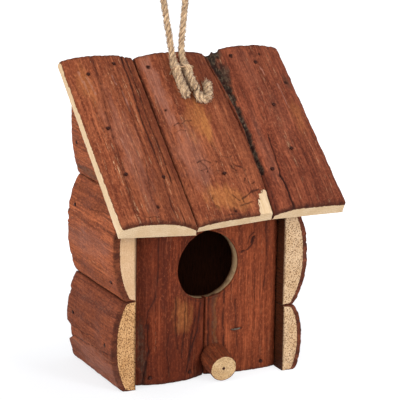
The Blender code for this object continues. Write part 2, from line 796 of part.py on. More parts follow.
def main():
    clear_scene()
    shop = Workshop()
    roofs = roof_slabs()
    lefts = side_slabs(
        LEFT_SIDE,
        ("lower", "middle", "upper"),
        LEFT_COURSE_SHARES,
        LEFT_THICKNESSES,
        LEFT_ENDS_AHEAD,
    )
    rights = side_slabs(
        RIGHT_SIDE,
        ("lower", "middle", "upper", "top"),
        RIGHT_COURSE_SHARES,
        RIGHT_THICKNESSES,
        RIGHT_ENDS_AHEAD,
    )
    fronts = wall_slabs(FRONT_SIDE, FRONT_SEAM_X, FRONT_THICKNESSES, FRONT_CROWN_SHARES)
    backs = wall_slabs(BACK_SIDE, BACK_SEAM_X, BACK_THICKNESSES, BACK_CROWN_SHARES)
    roof_made = make_slabs(roofs, shop.bark, shop)
    side_made = make_slabs(lefts + rights, shop.bark, shop)
    front_made = make_slabs(fronts, shop.dark_bark, shop)
    back_made = make_slabs(backs, shop.bark, shop)
    walls = side_made + front_made + back_made

    trim_to_roof(walls, shop)
    bore_entrance(front_made, shop)
    add_perch(front_made, shop)
    floor = add_floor(shop)
    batten = add_batten(shop)

    roof_places = roof_brad_places(roofs)
    add_brads("roof_brad", roof_places, ROOF_BRAD_LENGTH, roof_made + walls, shop)
    side_places = side_brad_places(LEFT_SIDE, lefts, LEFT_FRONT_SHARES, LEFT_BACK_SHARES)
    side_places += side_brad_places(RIGHT_SIDE, rights, RIGHT_FRONT_SHARES, RIGHT_BACK_SHARES)
    add_brads("side_brad", side_places, SIDE_BRAD_LENGTH, walls, shop)
    floor_places = floor_brad_places(FRONT_SIDE, fronts, FRONT_FLOOR_SHARES)
    floor_places += floor_brad_places(BACK_SIDE, backs, BACK_FLOOR_SHARES)
    floor_targets = [*front_made, *back_made, floor]
    add_brads("floor_brad", floor_places, FLOOR_BRAD_LENGTH, floor_targets, shop)

    add_front_staple(fronts, front_made, batten, shop)
    offset = outline_offset()
    cord_points = on_roof(CORD_ROUTE, offset)
    add_cord_staple(cord_points, offset, roof_made + back_made, shop)

    frame = bpy.data.objects.new("nest_box_frame", None)
    shop.parts.objects.link(frame)
    frame.location = offset
    for thing in (*shop.parts.objects, *shop.cutters.objects):
        if thing is not frame:
            thing.parent = frame

    cord_line = curve_through(cord_points, CORD_POINT_SPACING)
    wire("hanging_cord", cord_line, CORD_DIAMETER / 2, 2, shop.parts, shop.jute)
    curl_line = curve_through(on_roof(CURL_ROUTE, offset), CURL_POINT_SPACING)
    wire("cord_frayed_end", curl_line, CORD_DIAMETER / 2, 2, shop.parts, shop.jute)


main()
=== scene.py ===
"""The looks of a hanging bird nest box that is nailed together from barked slabs.

Metres, +Z up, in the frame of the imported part. Each slab is made here again on a fine grid, from
the same sizes as its solid, so that its bark can have furrows, cracks, pits and worn edges.
"""
import math
from dataclasses import dataclass
from random import Random

import bmesh
import bpy
import numpy as np
from mathutils import Matrix, Vector


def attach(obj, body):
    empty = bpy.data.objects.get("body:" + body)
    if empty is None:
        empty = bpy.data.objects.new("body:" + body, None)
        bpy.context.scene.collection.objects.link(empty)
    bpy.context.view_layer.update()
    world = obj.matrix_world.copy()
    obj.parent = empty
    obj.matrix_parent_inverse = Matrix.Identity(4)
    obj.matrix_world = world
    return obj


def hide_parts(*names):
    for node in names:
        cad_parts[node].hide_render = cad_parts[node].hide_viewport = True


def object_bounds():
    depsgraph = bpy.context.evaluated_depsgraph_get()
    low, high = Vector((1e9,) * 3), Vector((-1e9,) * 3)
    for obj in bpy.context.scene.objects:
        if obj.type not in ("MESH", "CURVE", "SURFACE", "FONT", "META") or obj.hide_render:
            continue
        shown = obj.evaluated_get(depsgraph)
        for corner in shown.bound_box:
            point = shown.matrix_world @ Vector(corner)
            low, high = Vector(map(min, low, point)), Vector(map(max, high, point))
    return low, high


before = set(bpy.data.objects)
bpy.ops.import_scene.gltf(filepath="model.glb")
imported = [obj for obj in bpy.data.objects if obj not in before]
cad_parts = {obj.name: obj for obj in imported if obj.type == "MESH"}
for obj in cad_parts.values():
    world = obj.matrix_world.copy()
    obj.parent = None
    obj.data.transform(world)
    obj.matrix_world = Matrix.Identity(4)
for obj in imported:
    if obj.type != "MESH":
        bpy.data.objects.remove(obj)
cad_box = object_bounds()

MM = 0.001

# The photograph's view
VIEW_AZIMUTH = math.radians(25.54)
VIEW_ELEVATION = math.radians(13.73)
VIEW_ROLL = math.radians(0.97)
VIEW_DISTANCE = 1.1543
VIEW_LENS = 180
VIEW_SENSOR = 36
VIEW_ACROSS = -0.00529
VIEW_UP = 0.10386

# The studio: how bright it is all round, and each lamp's place, size and power
WORLD_LEVEL = 0.62
LAMPS = (
    ("key", (0.55, -1.25, 0.42), 0.50, 12.0),
    ("left_front", (-0.60, -1.10, 0.65), 0.80, 4.5),
    ("left_fill", (-1.25, -0.35, 0.30), 0.70, 11.5),
)
LAMP_AIM = Vector((0, 0, 0.09))
SKY_COLOUR = (0.97, 0.98, 1.0)
WHITE = (1, 1, 1)

# The floor: its colour, how much it glows, and where the glow is weaker, as a painted shadow left of the
# object, or full
FLOOR_COLOUR = (0.34, 0.35, 0.37)
FLOOR_GLOW = 0.78
FLOOR_SHADE = 0.10
SHADE_SPOT = (-0.080, -0.010, 0)
SHADE_REACH = (0.03, 0.12)
WHITE_REACH = (0.13, 0.26)

# The solids' sizes, and where their frame stands in the world
SHIFT = Vector((-0.00525, 0.012045, 0))
HALF_WIDTH = 0.0465
HALF_DEPTH = 0.0365
HALF_INNER_DEPTH = 0.0225
FIT_GAP = 0.0003
WALL_LIFT = 0.0005
ROOF_SLOPE = math.radians(41.5)
ROOF_LENGTH = 0.120167
ROOF_WIDTH = 0.1407
ROOF_MIDDLE = 0.00525
ROOF_END_LEAN = math.radians(11.5)
EAVES_Y = -0.0531
EAVES_HEIGHT = 0.0958
LEFT_SEAM = 0.0464
RIGHT_SEAM_FRONT = 0.0948
RIGHT_SEAM_BACK = 0.0915
RIGHT_SEAM_BOW = 0.0031
LEFT_COURSES = (0.0, 0.0528, 0.1118)
RIGHT_COURSES = (0.0, 0.0398, 0.0980, 0.1420)
FRONT_SEAM = 0.0006
BACK_SEAM = -0.0040
TOP_OVERRUN = 0.02
TOP_TRIM = 0.0020
TOP_GAP = 0.0005
THINNEST = 0.0004
LOWEST_ROOM = 0.0012
CROWN_POWER = 2.4
RIPPLE_HEIGHT = 0.00035
RIPPLES_ALONG = 2.3
ENTRANCE = (0.0, 0.067)
ENTRANCE_RADIUS = 0.020
WALL_REACH = (0.0009, 0.0004)
CHIPPED_REACH = (0.0024, 0.0008)
PERCH_ACROSS = 0.0062
PERCH_OUT = 0.0070
PERCH_UP = 0.0115
PERCH_LENGTH = 0.0150
PERCH_ROOT_RADIUS = 0.0086
PERCH_FACE_RADIUS = 0.0080
PERCH_DROOP = math.radians(11)
PERCH_SWING = math.radians(3)

# Each slab's thickness at its left edge, crown and right edge, at its near and its far end
ROOF_THICKNESSES = (
    ((0.0078, 0.0117, 0.0056), (0.0048, 0.0090, 0.0036)),
    ((0.0052, 0.0073, 0.0064), (0.0040, 0.0077, 0.0042)),
    ((0.0047, 0.0092, 0.0084), (0.0032, 0.0095, 0.0048)),
)
ROOF_ENDS_AHEAD = ((0.0012, 0.0043), (0.0022, -0.0011), (-0.0011, -0.0011))
ROOF_CROWN_SHARES = (0.44, 0.46, 0.48)
LEFT_THICKNESSES = (
    ((0.0092, 0.0155, 0.0088), (0.0090, 0.0134, 0.0084)),
    ((0.0074, 0.0143, 0.0070), (0.0078, 0.0130, 0.0066)),
    ((0.0068, 0.0120, 0.0060), (0.0066, 0.0114, 0.0060)),
)
RIGHT_THICKNESSES = (
    ((0.0092, 0.0128, 0.0080), (0.0094, 0.0136, 0.0084)),
    ((0.0082, 0.0158, 0.0086), (0.0080, 0.0146, 0.0080)),
    ((0.0084, 0.0132, 0.0082), (0.0082, 0.0128, 0.0080)),
    ((0.0080, 0.0118, 0.0070), (0.0078, 0.0120, 0.0070)),
)
LEFT_ENDS_AHEAD = (0.0005, 0.0, 0.0)
RIGHT_ENDS_AHEAD = (0.0015, 0.0, 0.0, 0.0)
FRONT_THICKNESSES = (
    ((0.0074, 0.0130, 0.0056), (0.0078, 0.0122, 0.0058)),
    ((0.0056, 0.0088, 0.0068), (0.0060, 0.0092, 0.0072)),
)
BACK_THICKNESSES = (
    ((0.0062, 0.0106, 0.0066), (0.0060, 0.0112, 0.0064)),
    ((0.0064, 0.0112, 0.0062), (0.0062, 0.0104, 0.0060)),
)
FRONT_CROWN_SHARES = (0.42, 0.55)
BACK_CROWN_SHARES = (0.5, 0.5)
SIDE_CROWN_SHARE = 0.5

# The cord and its frayed end, as routes measured from the roof's top end
CORD_DIAMETER = 0.0039
CORD_LAY = 0.0115
CORD_STEP = 0.0006
CURL_STEP = 0.0005
ROOF_TOP = Vector((0, 0.048945, 0.175425))
CORD_ROUTE = (
    (-0.0034, -0.03455, -0.01673), (-0.0038, -0.02995, -0.01263), (-0.0040, -0.02465, -0.00793),
    (-0.0039, -0.01955, -0.00343), (-0.0037, -0.01545, 0.00027), (-0.0038, -0.01325, 0.00457),
    (-0.0047, -0.01265, 0.01037), (-0.0059, -0.01265, 0.01707), (-0.0072, -0.01265, 0.02357),
    (-0.0084, -0.01265, 0.03057), (-0.0098, -0.01265, 0.03757), (-0.0109, -0.01265, 0.04457),
    (-0.0099, -0.01265, 0.04907), (-0.0070, -0.01265, 0.05227), (-0.0027, -0.01265, 0.05357),
    (0.0016, -0.01265, 0.05227), (0.0045, -0.01265, 0.04907), (0.0054, -0.01265, 0.04457),
    (0.0046, -0.01265, 0.03757), (0.0038, -0.01265, 0.03077), (0.0033, -0.01265, 0.02357),
    (0.0026, -0.01265, 0.01657), (0.0022, -0.01265, 0.01057), (0.0022, -0.01325, 0.00457),
    (0.0026, -0.01545, 0.00027), (0.0028, -0.01955, -0.00343), (0.0030, -0.02465, -0.00793),
    (0.0037, -0.02915, -0.01183), (0.0039, -0.03125, -0.01373),
)
CURL_ROUTE = (
    (0.0040, -0.03150, -0.01398), (0.0040, -0.03325, -0.01553), (0.0047, -0.03525, -0.01733),
    (0.0070, -0.03605, -0.01813), (0.0094, -0.03465, -0.01743), (0.0109, -0.03205, -0.01523),
    (0.0119, -0.02865, -0.01233), (0.0127, -0.02625, -0.01033),
)


def blend(near, far, share):
    """From near at share 0 to far at share 1."""
    return near + (far - near) * share


def ramp(low, high, value):
    """0 below low, 1 above high, smooth between."""
    share = np.clip((value - low) / (high - low), 0, 1)
    return share * share * (3 - 2 * share)


def add_object(name, data):
    made = bpy.data.objects.new(name, data)
    bpy.context.scene.collection.objects.link(made)
    return made


def add_camera():
    """The camera that took the photograph, as fitted to it."""
    side, rise, roll = VIEW_AZIMUTH, VIEW_ELEVATION, VIEW_ROLL
    back = Vector((-math.sin(side) * math.cos(rise), -math.cos(side) * math.cos(rise), math.sin(rise)))
    level = Vector((math.cos(side), -math.sin(side), 0))
    upright = back.cross(level)
    right = level * math.cos(roll) + upright * math.sin(roll)
    up = upright * math.cos(roll) - level * math.sin(roll)
    target = SHIFT + Vector((0, -HALF_DEPTH, 0)) + right * VIEW_ACROSS + up * VIEW_UP
    data = bpy.data.cameras.new("photo_view")
    data.lens = VIEW_LENS
    data.sensor_width = VIEW_SENSOR
    data.clip_end = 20
    camera = add_object("photo_view", data)
    turn = Matrix((right, up, back)).transposed().to_4x4()
    camera.matrix_world = Matrix.Translation(target + back * VIEW_DISTANCE) @ turn
    bpy.context.scene.camera = camera


def add_lamp(name, spot, size, power):
    data = bpy.data.lights.new(name, "AREA")
    data.shape = "DISK"
    data.size = size
    data.energy = power
    lamp = add_object(name, data)
    lamp.location = spot
    lamp.rotation_euler = (LAMP_AIM - Vector(spot)).to_track_quat("-Z", "Y").to_euler()


class Wiring:
    """Short ways to make and join the nodes of one tree."""

    def __init__(self, tree):
        self.tree = tree

    def put(self, value, socket):
        if isinstance(value, bpy.types.NodeSocket):
            self.tree.links.new(value, socket)
        elif isinstance(value, tuple) and len(value) == 3 and socket.type == "RGBA":
            socket.default_value = (*value, 1)
        else:
            socket.default_value = value

    def feed(self, node, fed):
        """Gives each named socket of a node its value or link."""
        for socket, value in fed.items():
            self.put(value, node.inputs[socket])

    def node(self, kind, fed=(), **settings):
        """A node of a kind, with its settings and what its sockets are fed with."""
        node = self.tree.nodes.new(kind)
        for name, value in settings.items():
            setattr(node, name, value)
        self.feed(node, dict(fed))
        return node

    def math(self, operation, a, b):
        return self.node("ShaderNodeMath", {0: a, 1: b}, operation=operation).outputs[0]

    def spread(self, value, low, high, out_low=0.0, out_high=1.0):
        """From out_low at low to out_high at high, smooth between."""
        ends = {"From Min": low, "From Max": high, "To Min": out_low, "To Max": out_high}
        node = self.node("ShaderNodeMapRange", ends, interpolation_type="SMOOTHSTEP")
        self.put(value, node.inputs["Value"])
        return node.outputs["Result"]

    def stretch(self, vector, scale):
        node = self.node("ShaderNodeVectorMath", {0: vector, 1: scale}, operation="MULTIPLY")
        return node.outputs[0]

    def noise(self, vector, scale, detail=2.0, roughness=0.5, distortion=0.0):
        kinds = {"Detail": detail, "Roughness": roughness, "Distortion": distortion}
        fed = {"Vector": self.stretch(vector, scale), "Scale": 1.0, **kinds}
        return self.node("ShaderNodeTexNoise", fed).outputs["Fac"]

    def cells(self, vector, scale):
        fed = {"Vector": self.stretch(vector, scale), "Scale": 1.0}
        return self.node("ShaderNodeTexVoronoi", fed).outputs["Distance"]

    def mix(self, share, a, b, blend_type="MIX"):
        """Two colours mixed."""
        fed = {"Factor": share, 6: a, 7: b}
        return self.node("ShaderNodeMix", fed, data_type="RGBA", blend_type=blend_type).outputs[2]

    def between(self, share, a, b):
        """Two numbers mixed."""
        fed = {"Factor": share, 2: a, 3: b}
        return self.node("ShaderNodeMix", fed, data_type="FLOAT").outputs[0]

    def bump(self, fed):
        return self.node("ShaderNodeBump", fed).outputs["Normal"]

    def stored(self, name, output="Fac"):
        """What the mesh stores under a name for each vertex."""
        return self.node("ShaderNodeAttribute", attribute_name=name).outputs[output]


def seen_directly(wire):
    """1 for what the camera sees, also in a mirror or through glass, and 0 for other rays."""
    path = wire.node("ShaderNodeLightPath").outputs
    seen = path["Is Camera Ray"]
    for kind in ("Is Transmission Ray", "Is Glossy Ray"):
        seen = wire.math("MAXIMUM", seen, path[kind])
    return seen


def add_world():
    """Soft light from all round, and a white background."""
    world = bpy.data.worlds.new("studio")
    bpy.context.scene.world = world
    world.use_nodes = True
    world.node_tree.nodes.clear()
    wire = Wiring(world.node_tree)
    soft = wire.node("ShaderNodeBackground", {"Color": SKY_COLOUR, "Strength": WORLD_LEVEL})
    white = wire.node("ShaderNodeBackground", {"Color": WHITE, "Strength": 1.0})
    fed = {"Fac": seen_directly(wire), 1: soft.outputs[0], 2: white.outputs[0]}
    mix = wire.node("ShaderNodeMixShader", fed)
    wire.node("ShaderNodeOutputWorld", {"Surface": mix.outputs[0]})


def floor_paint():
    """Pale paint that glows up to white and still shows the object's shadow, with a painted shadow where
    the glow is weaker left of the object.
    """
    paint = bpy.data.materials.new("pale_floor")
    paint.use_nodes = True
    paint.node_tree.nodes.clear()
    wire = Wiring(paint.node_tree)
    place = wire.node("ShaderNodeTexCoord").outputs["Object"]
    near = wire.node("ShaderNodeVectorMath", {0: place, 1: SHADE_SPOT}, operation="DISTANCE")
    far = wire.node("ShaderNodeVectorMath", {0: place}, operation="LENGTH")
    level = wire.spread(near.outputs["Value"], *SHADE_REACH, FLOOR_GLOW - FLOOR_SHADE, FLOOR_GLOW)
    level = wire.math("MAXIMUM", level, wire.spread(far.outputs["Value"], *WHITE_REACH))
    strength = wire.math("MULTIPLY", seen_directly(wire), level)
    glow = wire.node("ShaderNodeEmission", {"Color": WHITE, "Strength": strength})
    lit = wire.node("ShaderNodeBsdfDiffuse", {"Color": FLOOR_COLOUR})
    both = wire.node("ShaderNodeAddShader", {0: lit.outputs[0], 1: glow.outputs[0]})
    wire.node("ShaderNodeOutputMaterial", {"Surface": both.outputs[0]})
    return paint


def add_studio():
    bpy.context.scene.view_settings.view_transform = "Standard"
    add_world()
    for lamp in LAMPS:
        add_lamp(*lamp)
    shape = bmesh.new()
    bmesh.ops.create_grid(shape, x_segments=12, y_segments=12, size=3)
    mesh = bpy.data.meshes.new("floor")
    shape.to_mesh(mesh)
    shape.free()
    mesh.materials.append(floor_paint())
    add_object("floor", mesh)


# Noise on grids of points, in millimetres
def lattice(i, j, seed):
    """Fixed numbers from 0 to 1 at whole places, in no order that shows."""
    mixed = (i * 374761393 + j * 668265263 + seed * 974634777) & 0xFFFFFFFF
    mixed = ((mixed ^ (mixed >> 13)) * 1274126177) & 0xFFFFFFFF
    return ((mixed ^ (mixed >> 16)) & 0xFFFF) / 65535


def noise(x, y, seed):
    """Smooth noise from 0 to 1 with one cell a unit."""
    i, j = np.floor(x).astype(np.int64), np.floor(y).astype(np.int64)
    across, along = x - i, y - j
    across = across * across * (3 - 2 * across)
    along = along * along * (3 - 2 * along)
    low = blend(lattice(i, j, seed), lattice(i + 1, j, seed), across)
    high = blend(lattice(i, j + 1, seed), lattice(i + 1, j + 1, seed), across)
    return blend(low, high, along)


def rough(x, y, seed):
    """Two sizes of noise together, from 0 to 1."""
    return 0.66 * noise(x, y, seed) + 0.34 * noise(2.1 * x + 7, 2.1 * y + 3, seed + 1)


def furrow_lines(x, y, seed, width):
    """Lines of one width where a noise passes its middle value: 1 on them, 0 away from them."""
    value = rough(x, y, seed)
    slope = np.abs(rough(x + 0.06, y, seed) - value) / 0.06
    away = np.abs(value - 0.5) / np.maximum(slope, 0.25)
    return np.exp(-((away / width) ** 2)) * ramp(0.20, 0.60, slope)


def distance_to_line(x, y, line):
    """How far places are from the nearest stretch of a line."""
    best = np.full(x.shape, 1e9)
    for (x0, y0), (x1, y1) in zip(line, line[1:]):
        dx, dy = x1 - x0, y1 - y0
        share = np.clip(((x - x0) * dx + (y - y0) * dy) / (dx * dx + dy * dy), 0, 1)
        best = np.minimum(best, np.hypot(x - x0 - share * dx, y - y0 - share * dy))
    return best


# The deep stain darkens the bark: as dark bark along cracks, and as painted shade along some seams and
# beside the perch
STAINS = ("ochre", "moss", "bare", "ash", "deep")

# How far the bark's features reach across and along the grain, and how deep some are, in mm
FIBRE_SIZE = (0.95, 26)
BUNDLE_SIZE = (2.8, 80)
FURROW_SIZE = (4.6, 90)
FLAKE_SIZE = (5.5, 4.2)
UNEVEN_DEPTH = 0.34
GRAIN_DEPTH = 0.10
FLAKE_DEPTH = 0.70
PIT_DEPTH = 0.8
BARE_DEPTH = 0.9
MOSS_DEPTHS = (0.2, 1.3)


@dataclass
class Bark:
    """What a slab's bark has, at places in millimetres across and along its flat face.

    cracks: (width, depth, line), where a line is its places one after another. pits: (x, y, size).
    flakes: (x, y, width, length, strength).
    patches: (stain, x, y, width, length, turn, strength). trails: (stain, width, strength, line).
    """

    seed: int
    fibre: float
    ridge: float
    furrow: float
    cracks: tuple = ()
    pits: tuple = ()
    patches: tuple = ()
    trails: tuple = ()
    flakes: tuple = ()

    def relief(self, x, y):
        """How deep the bark is worn or split at a place, in millimetres, and how dark, which in furrows,
        cracks and pits is dark bark with painted shade.
        """
        seed = self.seed
        swayed = x + 1.5 * rough(x / 24, y / 75, seed + 10)
        fibres = rough(swayed / FIBRE_SIZE[0], y / FIBRE_SIZE[1], seed + 20)
        bundles = rough(swayed / BUNDLE_SIZE[0], y / BUNDLE_SIZE[1], seed + 30)
        furrows = furrow_lines(swayed / FURROW_SIZE[0], y / FURROW_SIZE[1], seed + 40, 0.075)
        furrows = furrows * ramp(0.40, 0.66, noise(swayed / 5, y / 28, seed + 50))
        uneven = rough(x / 9, y / 22, seed + 60)
        grains = noise(x / 1.3, y / 1.7, seed + 65)
        deep = self.fibre * fibres + self.ridge * bundles
        deep = deep + UNEVEN_DEPTH * uneven + self.furrow * furrows + GRAIN_DEPTH * grains
        dark = 0.45 * furrows + 0.12 * ramp(0.50, 0.80, bundles)
        for width, depth, line in self.cracks:
            sway = 1.3 * (rough(x / 3.2, y / 5, seed + 70) - 0.5)
            away = distance_to_line(x + 0.6 * sway, y + sway, line)
            wide = 0.80 * width * (0.35 + 1.2 * noise(x / 1.8, y / 3.2, seed + 80))
            cleft = np.exp(-((away / wide) ** 2))
            deep = deep + depth * cleft
            # Deeper cracks are darker: dark bark with painted shade
            dark = np.maximum(dark, ramp(0.10, 0.80, cleft) * min(1, 0.30 + 0.75 * depth))
        for at_x, at_y, wide, long, strength in self.flakes:
            sway = 1.5 * rough(x / 2.0, y / 2.0, seed + 125)
            wide_in, long_in = FLAKE_SIZE
            lines = furrow_lines((x + sway) / wide_in, (y - sway) / long_in, seed + 120, 0.13)
            lines = lines * ramp(0.30, 0.55, noise(x / 4, y / 4, seed + 130))
            lines = lines * strength * ramp(1.2, 0.6, np.hypot((x - at_x) / wide, (y - at_y) / long))
            deep = deep + FLAKE_DEPTH * lines
            dark = np.maximum(dark, 0.75 * lines)
        for at_x, at_y, size in self.pits:
            chipped = 0.80 + 0.55 * noise(x / 0.8, y / 0.8, seed + 110)
            away = np.hypot(x - at_x, (y - at_y) * 0.9) * chipped
            hollow = np.exp(-((away / size) ** 4))
            deep = deep + PIT_DEPTH * hollow
            dark = np.maximum(dark, hollow)
        stained = self.stains(x, y)
        bare = stained["bare"]
        deep = deep + BARE_DEPTH * bare
        lumps = rough(x / 1.5, y / 2.2, seed + 100)
        deep = deep + stained["moss"] * (MOSS_DEPTHS[0] + MOSS_DEPTHS[1] * lumps)
        dark = np.maximum(dark * (1 - bare), stained["moss"] * ramp(0.55, 0.72, lumps))
        dark = np.maximum(dark, 2.6 * bare * (1 - bare))
        return deep, np.clip(dark, 0, 1)

    def stains(self, x, y):
        """How much of each stain there is at a place."""
        found = {kind: np.zeros(x.shape) for kind in STAINS}
        for kind, at_x, at_y, wide, long, turn, strength in self.patches:
            dx, dy = x - at_x, y - at_y
            turn = math.radians(turn)
            u = (dx * math.cos(turn) + dy * math.sin(turn)) / wide
            v = (-dx * math.sin(turn) + dy * math.cos(turn)) / long
            if kind == "bare":
                edge = rough(x / 1.5, y / 3, self.seed + 90) - 0.5
                amount = strength * ramp(1.05, 0.95, np.hypot(u, v) + 0.35 * edge)
            else:
                edge = rough(x / 2.0, y / 8, self.seed + 90) - 0.5
                amount = strength * ramp(1.35, 0.45, np.hypot(u, v) + 1.1 * edge)
            found[kind] = np.maximum(found[kind], amount)
        for kind, wide, strength, line in self.trails:
            edge = rough(x / 1.6, y / 4, self.seed + 95) - 0.5
            away = distance_to_line(x + 1.2 * edge, y, line) / wide
            amount = strength * ramp(1.2, 0.6, away + 1.0 * edge)
            found[kind] = np.maximum(found[kind], amount)
        return found


# How much of a slab the relief may wear away, a slab's thickness to start from, how far under its
# flat face the log's pith was, and how far a face turns before its edge is kept sharp
DEEPEST_SHARE = 0.6
USUAL_THICKNESS = 0.008
PITH_DEPTH = 34
SHARP_ANGLE = math.radians(42)
PERCH_SHARP_ANGLE = math.radians(50)


class Slab:
    """A slab on a fine grid: across its width, along its grain, and through its thickness."""

    # How its long edges bow, how its ends lean and stand ahead at each edge, and what cuts it
    bows = (0.0, 0.0)
    ends_ahead = (0.0, 0.0)
    start_lean = 0.0
    end_lean = 0.0
    first = None
    trim = None

    # How worn its ends and edges are, where the bark covers or leaves it, and whether its inner face gets
    # painted shade
    start_rough = 0.0
    end_rough = 0.4
    notches = ()
    barked_sides = (False, False)
    thin_edge = 0.0
    dark_inside = False

    def __init__(self, node, origin, along, out, length, edges, thicknesses, crown_share, bark):
        self.node = node
        self.origin = Vector(origin) + SHIFT
        along, out = Vector(along), Vector(out)
        across = along.cross(out)
        self.turn = Matrix((across, along, out)).transposed()
        self.length = length
        self.edges = edges
        self.thicknesses = thicknesses
        self.crown_share = crown_share
        self.bark = bark
        self.end = length
        self.phase = sum(ord(letter) for letter in node)

    def matrix(self):
        """From the slab's own frame to the world."""
        return Matrix.Translation(self.origin) @ self.turn.to_4x4()

    def full_edges(self, along):
        """Where the slab's two long edges are, before it is trimmed."""
        share = np.clip(along / self.length, 0, 1)
        bend = np.sin(math.pi * share)
        (left0, left1), (right0, right1) = self.edges
        left = blend(left0, left1, share) + self.bows[0] * bend
        right = blend(right0, right1, share) + self.bows[1] * bend
        return left, right

    def thickness(self, across, along):
        """The smooth thickness that the solid has, which the relief then wears down."""
        left, right = self.full_edges(along)
        across_share = np.clip((across - left) / (right - left), 0, 1)
        along_share = along / self.length
        near, far = self.thicknesses
        low, crown, high = (blend(a, b, along_share) for a, b in zip(near, far))
        before = across_share < self.crown_share
        edge = np.where(before, low, high)
        away = np.where(
            before,
            1 - across_share / self.crown_share,
            (across_share - self.crown_share) / (1 - self.crown_share),
        )
        rise = (crown - edge) * (1 - away**CROWN_POWER)
        wave = np.sin(math.tau * RIPPLES_ALONG * along_share + self.phase)
        return edge + rise + RIPPLE_HEIGHT * wave * (1 - away**2)

    def span(self, u, height):
        """Where the slab starts and ends along its grain, at a share across and a height."""
        if self.first is not None:
            start = self.first + 0 * u
        else:
            start = height * math.tan(self.start_lean) - blend(*self.ends_ahead, u)
        return start, self.end + height * math.tan(self.end_lean)

    def places(self, u, t, level):
        """Points at shares across, along and through the slab, in its own frame."""
        height = level * USUAL_THICKNESS
        for _ in range(3):
            start, end = self.span(u, height)
            along = start + (end - start) * t
            left, right = self.full_edges(along)
            if self.trim is not None:
                left, right = self.trim(along, left, right)
            across = left + (right - left) * u
            full = self.thickness(across, along)
            height = level * full
        x, y = across / MM, along / MM
        deep, _ = self.bark.relief(x, y)
        near_side = np.minimum(u, 1 - u) * (right - left) / MM
        near_end = np.minimum(t, 1 - t) * (end - start) / MM
        seed = self.bark.seed
        worn = (0.25 + 0.9 * noise(x / 3, y / 4, seed + 5)) * np.exp(-near_side / 0.7)
        worn = worn + (0.15 + 0.6 * noise(x / 1.6, y / 1.6, seed + 6)) * np.exp(-near_end / 0.8)
        deep = np.minimum((deep + worn) * MM, DEEPEST_SHARE * full)
        height = level * (full - deep)
        z = height / MM
        saw = noise(x / 1.1, z / 1.1, seed + 7) + noise(x / 0.5, z / 0.5, seed + 8)
        push = (0.05 + 0.10 * self.start_rough) * saw * MM
        along = along + push * np.exp(-t * self.length / MM / 0.6)
        torn = 0.65 * noise(x / 6.5, z / 5, seed + 11) + 0.35 * noise(x / 1.7, y / 1.7, seed)
        torn = torn * self.end_rough
        for spot, wide, deep_in in self.notches:
            edge = 1.6 * (rough(x / 2.0, z / 2.0, seed + 13) - 0.5)
            torn = torn + deep_in * ramp(1.25, 0.85, np.abs(x + edge - spot) / wide)
        torn = torn * (0.15 + 0.85 * ramp(0.30, 0.75, level))
        torn = torn + 0.05 * saw
        reach = 1.6 * self.end_rough + 0.4 + 1.8 * sum(notch[2] for notch in self.notches)
        along = along - torn * MM * np.exp(-(1 - t) * self.length / MM / reach)
        fray = 0.28 * rough(y / 1.8, z / 1.6, seed + 9) * MM
        across = across + fray * np.exp(-near_side / 0.5) * np.where(u < 0.5, 1, -1)
        return np.stack([across, along, height], -1)


WELD_DISTANCE = 0.000002


def sheet_faces(index):
    """The quads of a grid of vertex numbers."""
    a, b = index[:-1, :-1].ravel(), index[1:, :-1].ravel()
    c, d = index[1:, 1:].ravel(), index[:-1, 1:].ravel()
    return np.stack([a, b, c, d], -1)


def slab_mesh(slab, step, levels):
    """A closed mesh from a barked sheet, two side bands, two end grids and the flat face."""
    left, right = slab.full_edges(np.array([0.0]))
    columns = max(8, round(float(right[0] - left[0]) / step))
    rows = max(8, round(slab.end / step))
    across = np.linspace(0, 1, columns + 1)
    along = np.linspace(0, 1, rows + 1)
    through = np.linspace(0, 1, levels + 1)
    points, faces = [], []
    base = 0

    def add_sheet(u, t, k):
        nonlocal base
        spots = slab.places(u.ravel(), t.ravel(), k.ravel())
        index = (base + np.arange(u.size)).reshape(u.shape)
        base += u.size
        points.append(spots)
        faces.extend(sheet_faces(index).tolist())
        return index

    u, t = np.meshgrid(across, along, indexing="ij")
    add_sheet(u, t, np.ones(u.shape))
    t, k = np.meshgrid(along, through, indexing="ij")
    left_side = add_sheet(np.zeros(t.shape), t, k)
    right_side = add_sheet(np.ones(t.shape), t, k)
    u, k = np.meshgrid(across, through, indexing="ij")
    start = add_sheet(u, np.zeros(u.shape), k)
    end = add_sheet(u, np.ones(u.shape), k)
    for j in range(1, rows - 1):
        strip = (left_side[j, 0], right_side[j, 0], right_side[j + 1, 0], left_side[j + 1, 0])
        faces.append([int(v) for v in strip])
    faces.append([int(v) for v in (*start[:, 0], right_side[1, 0], left_side[1, 0])])
    faces.append([int(v) for v in (*end[:, 0], right_side[rows - 1, 0], left_side[rows - 1, 0])])

    mesh = bpy.data.meshes.new(slab.node + "_barked")
    mesh.from_pydata(np.concatenate(points).tolist(), [], faces)
    shape = bmesh.new()
    shape.from_mesh(mesh)
    bmesh.ops.remove_doubles(shape, verts=shape.verts, dist=WELD_DISTANCE)
    bmesh.ops.recalc_face_normals(shape, faces=shape.faces)
    shape.to_mesh(mesh)
    shape.free()
    return mesh


def set_values(mesh, name, values):
    """Stores one number for each vertex."""
    attribute = mesh.attributes.new(name, "FLOAT", "POINT")
    attribute.data.foreach_set("value", np.ascontiguousarray(values, dtype=np.float32))


def set_grain(mesh, places):
    """Stores where each vertex is in the wood, in millimetres, with y along the grain."""
    grain = mesh.attributes.new("grain", "FLOAT_VECTOR", "POINT")
    grain.data.foreach_set("vector", np.asarray(places).astype(np.float32).ravel())


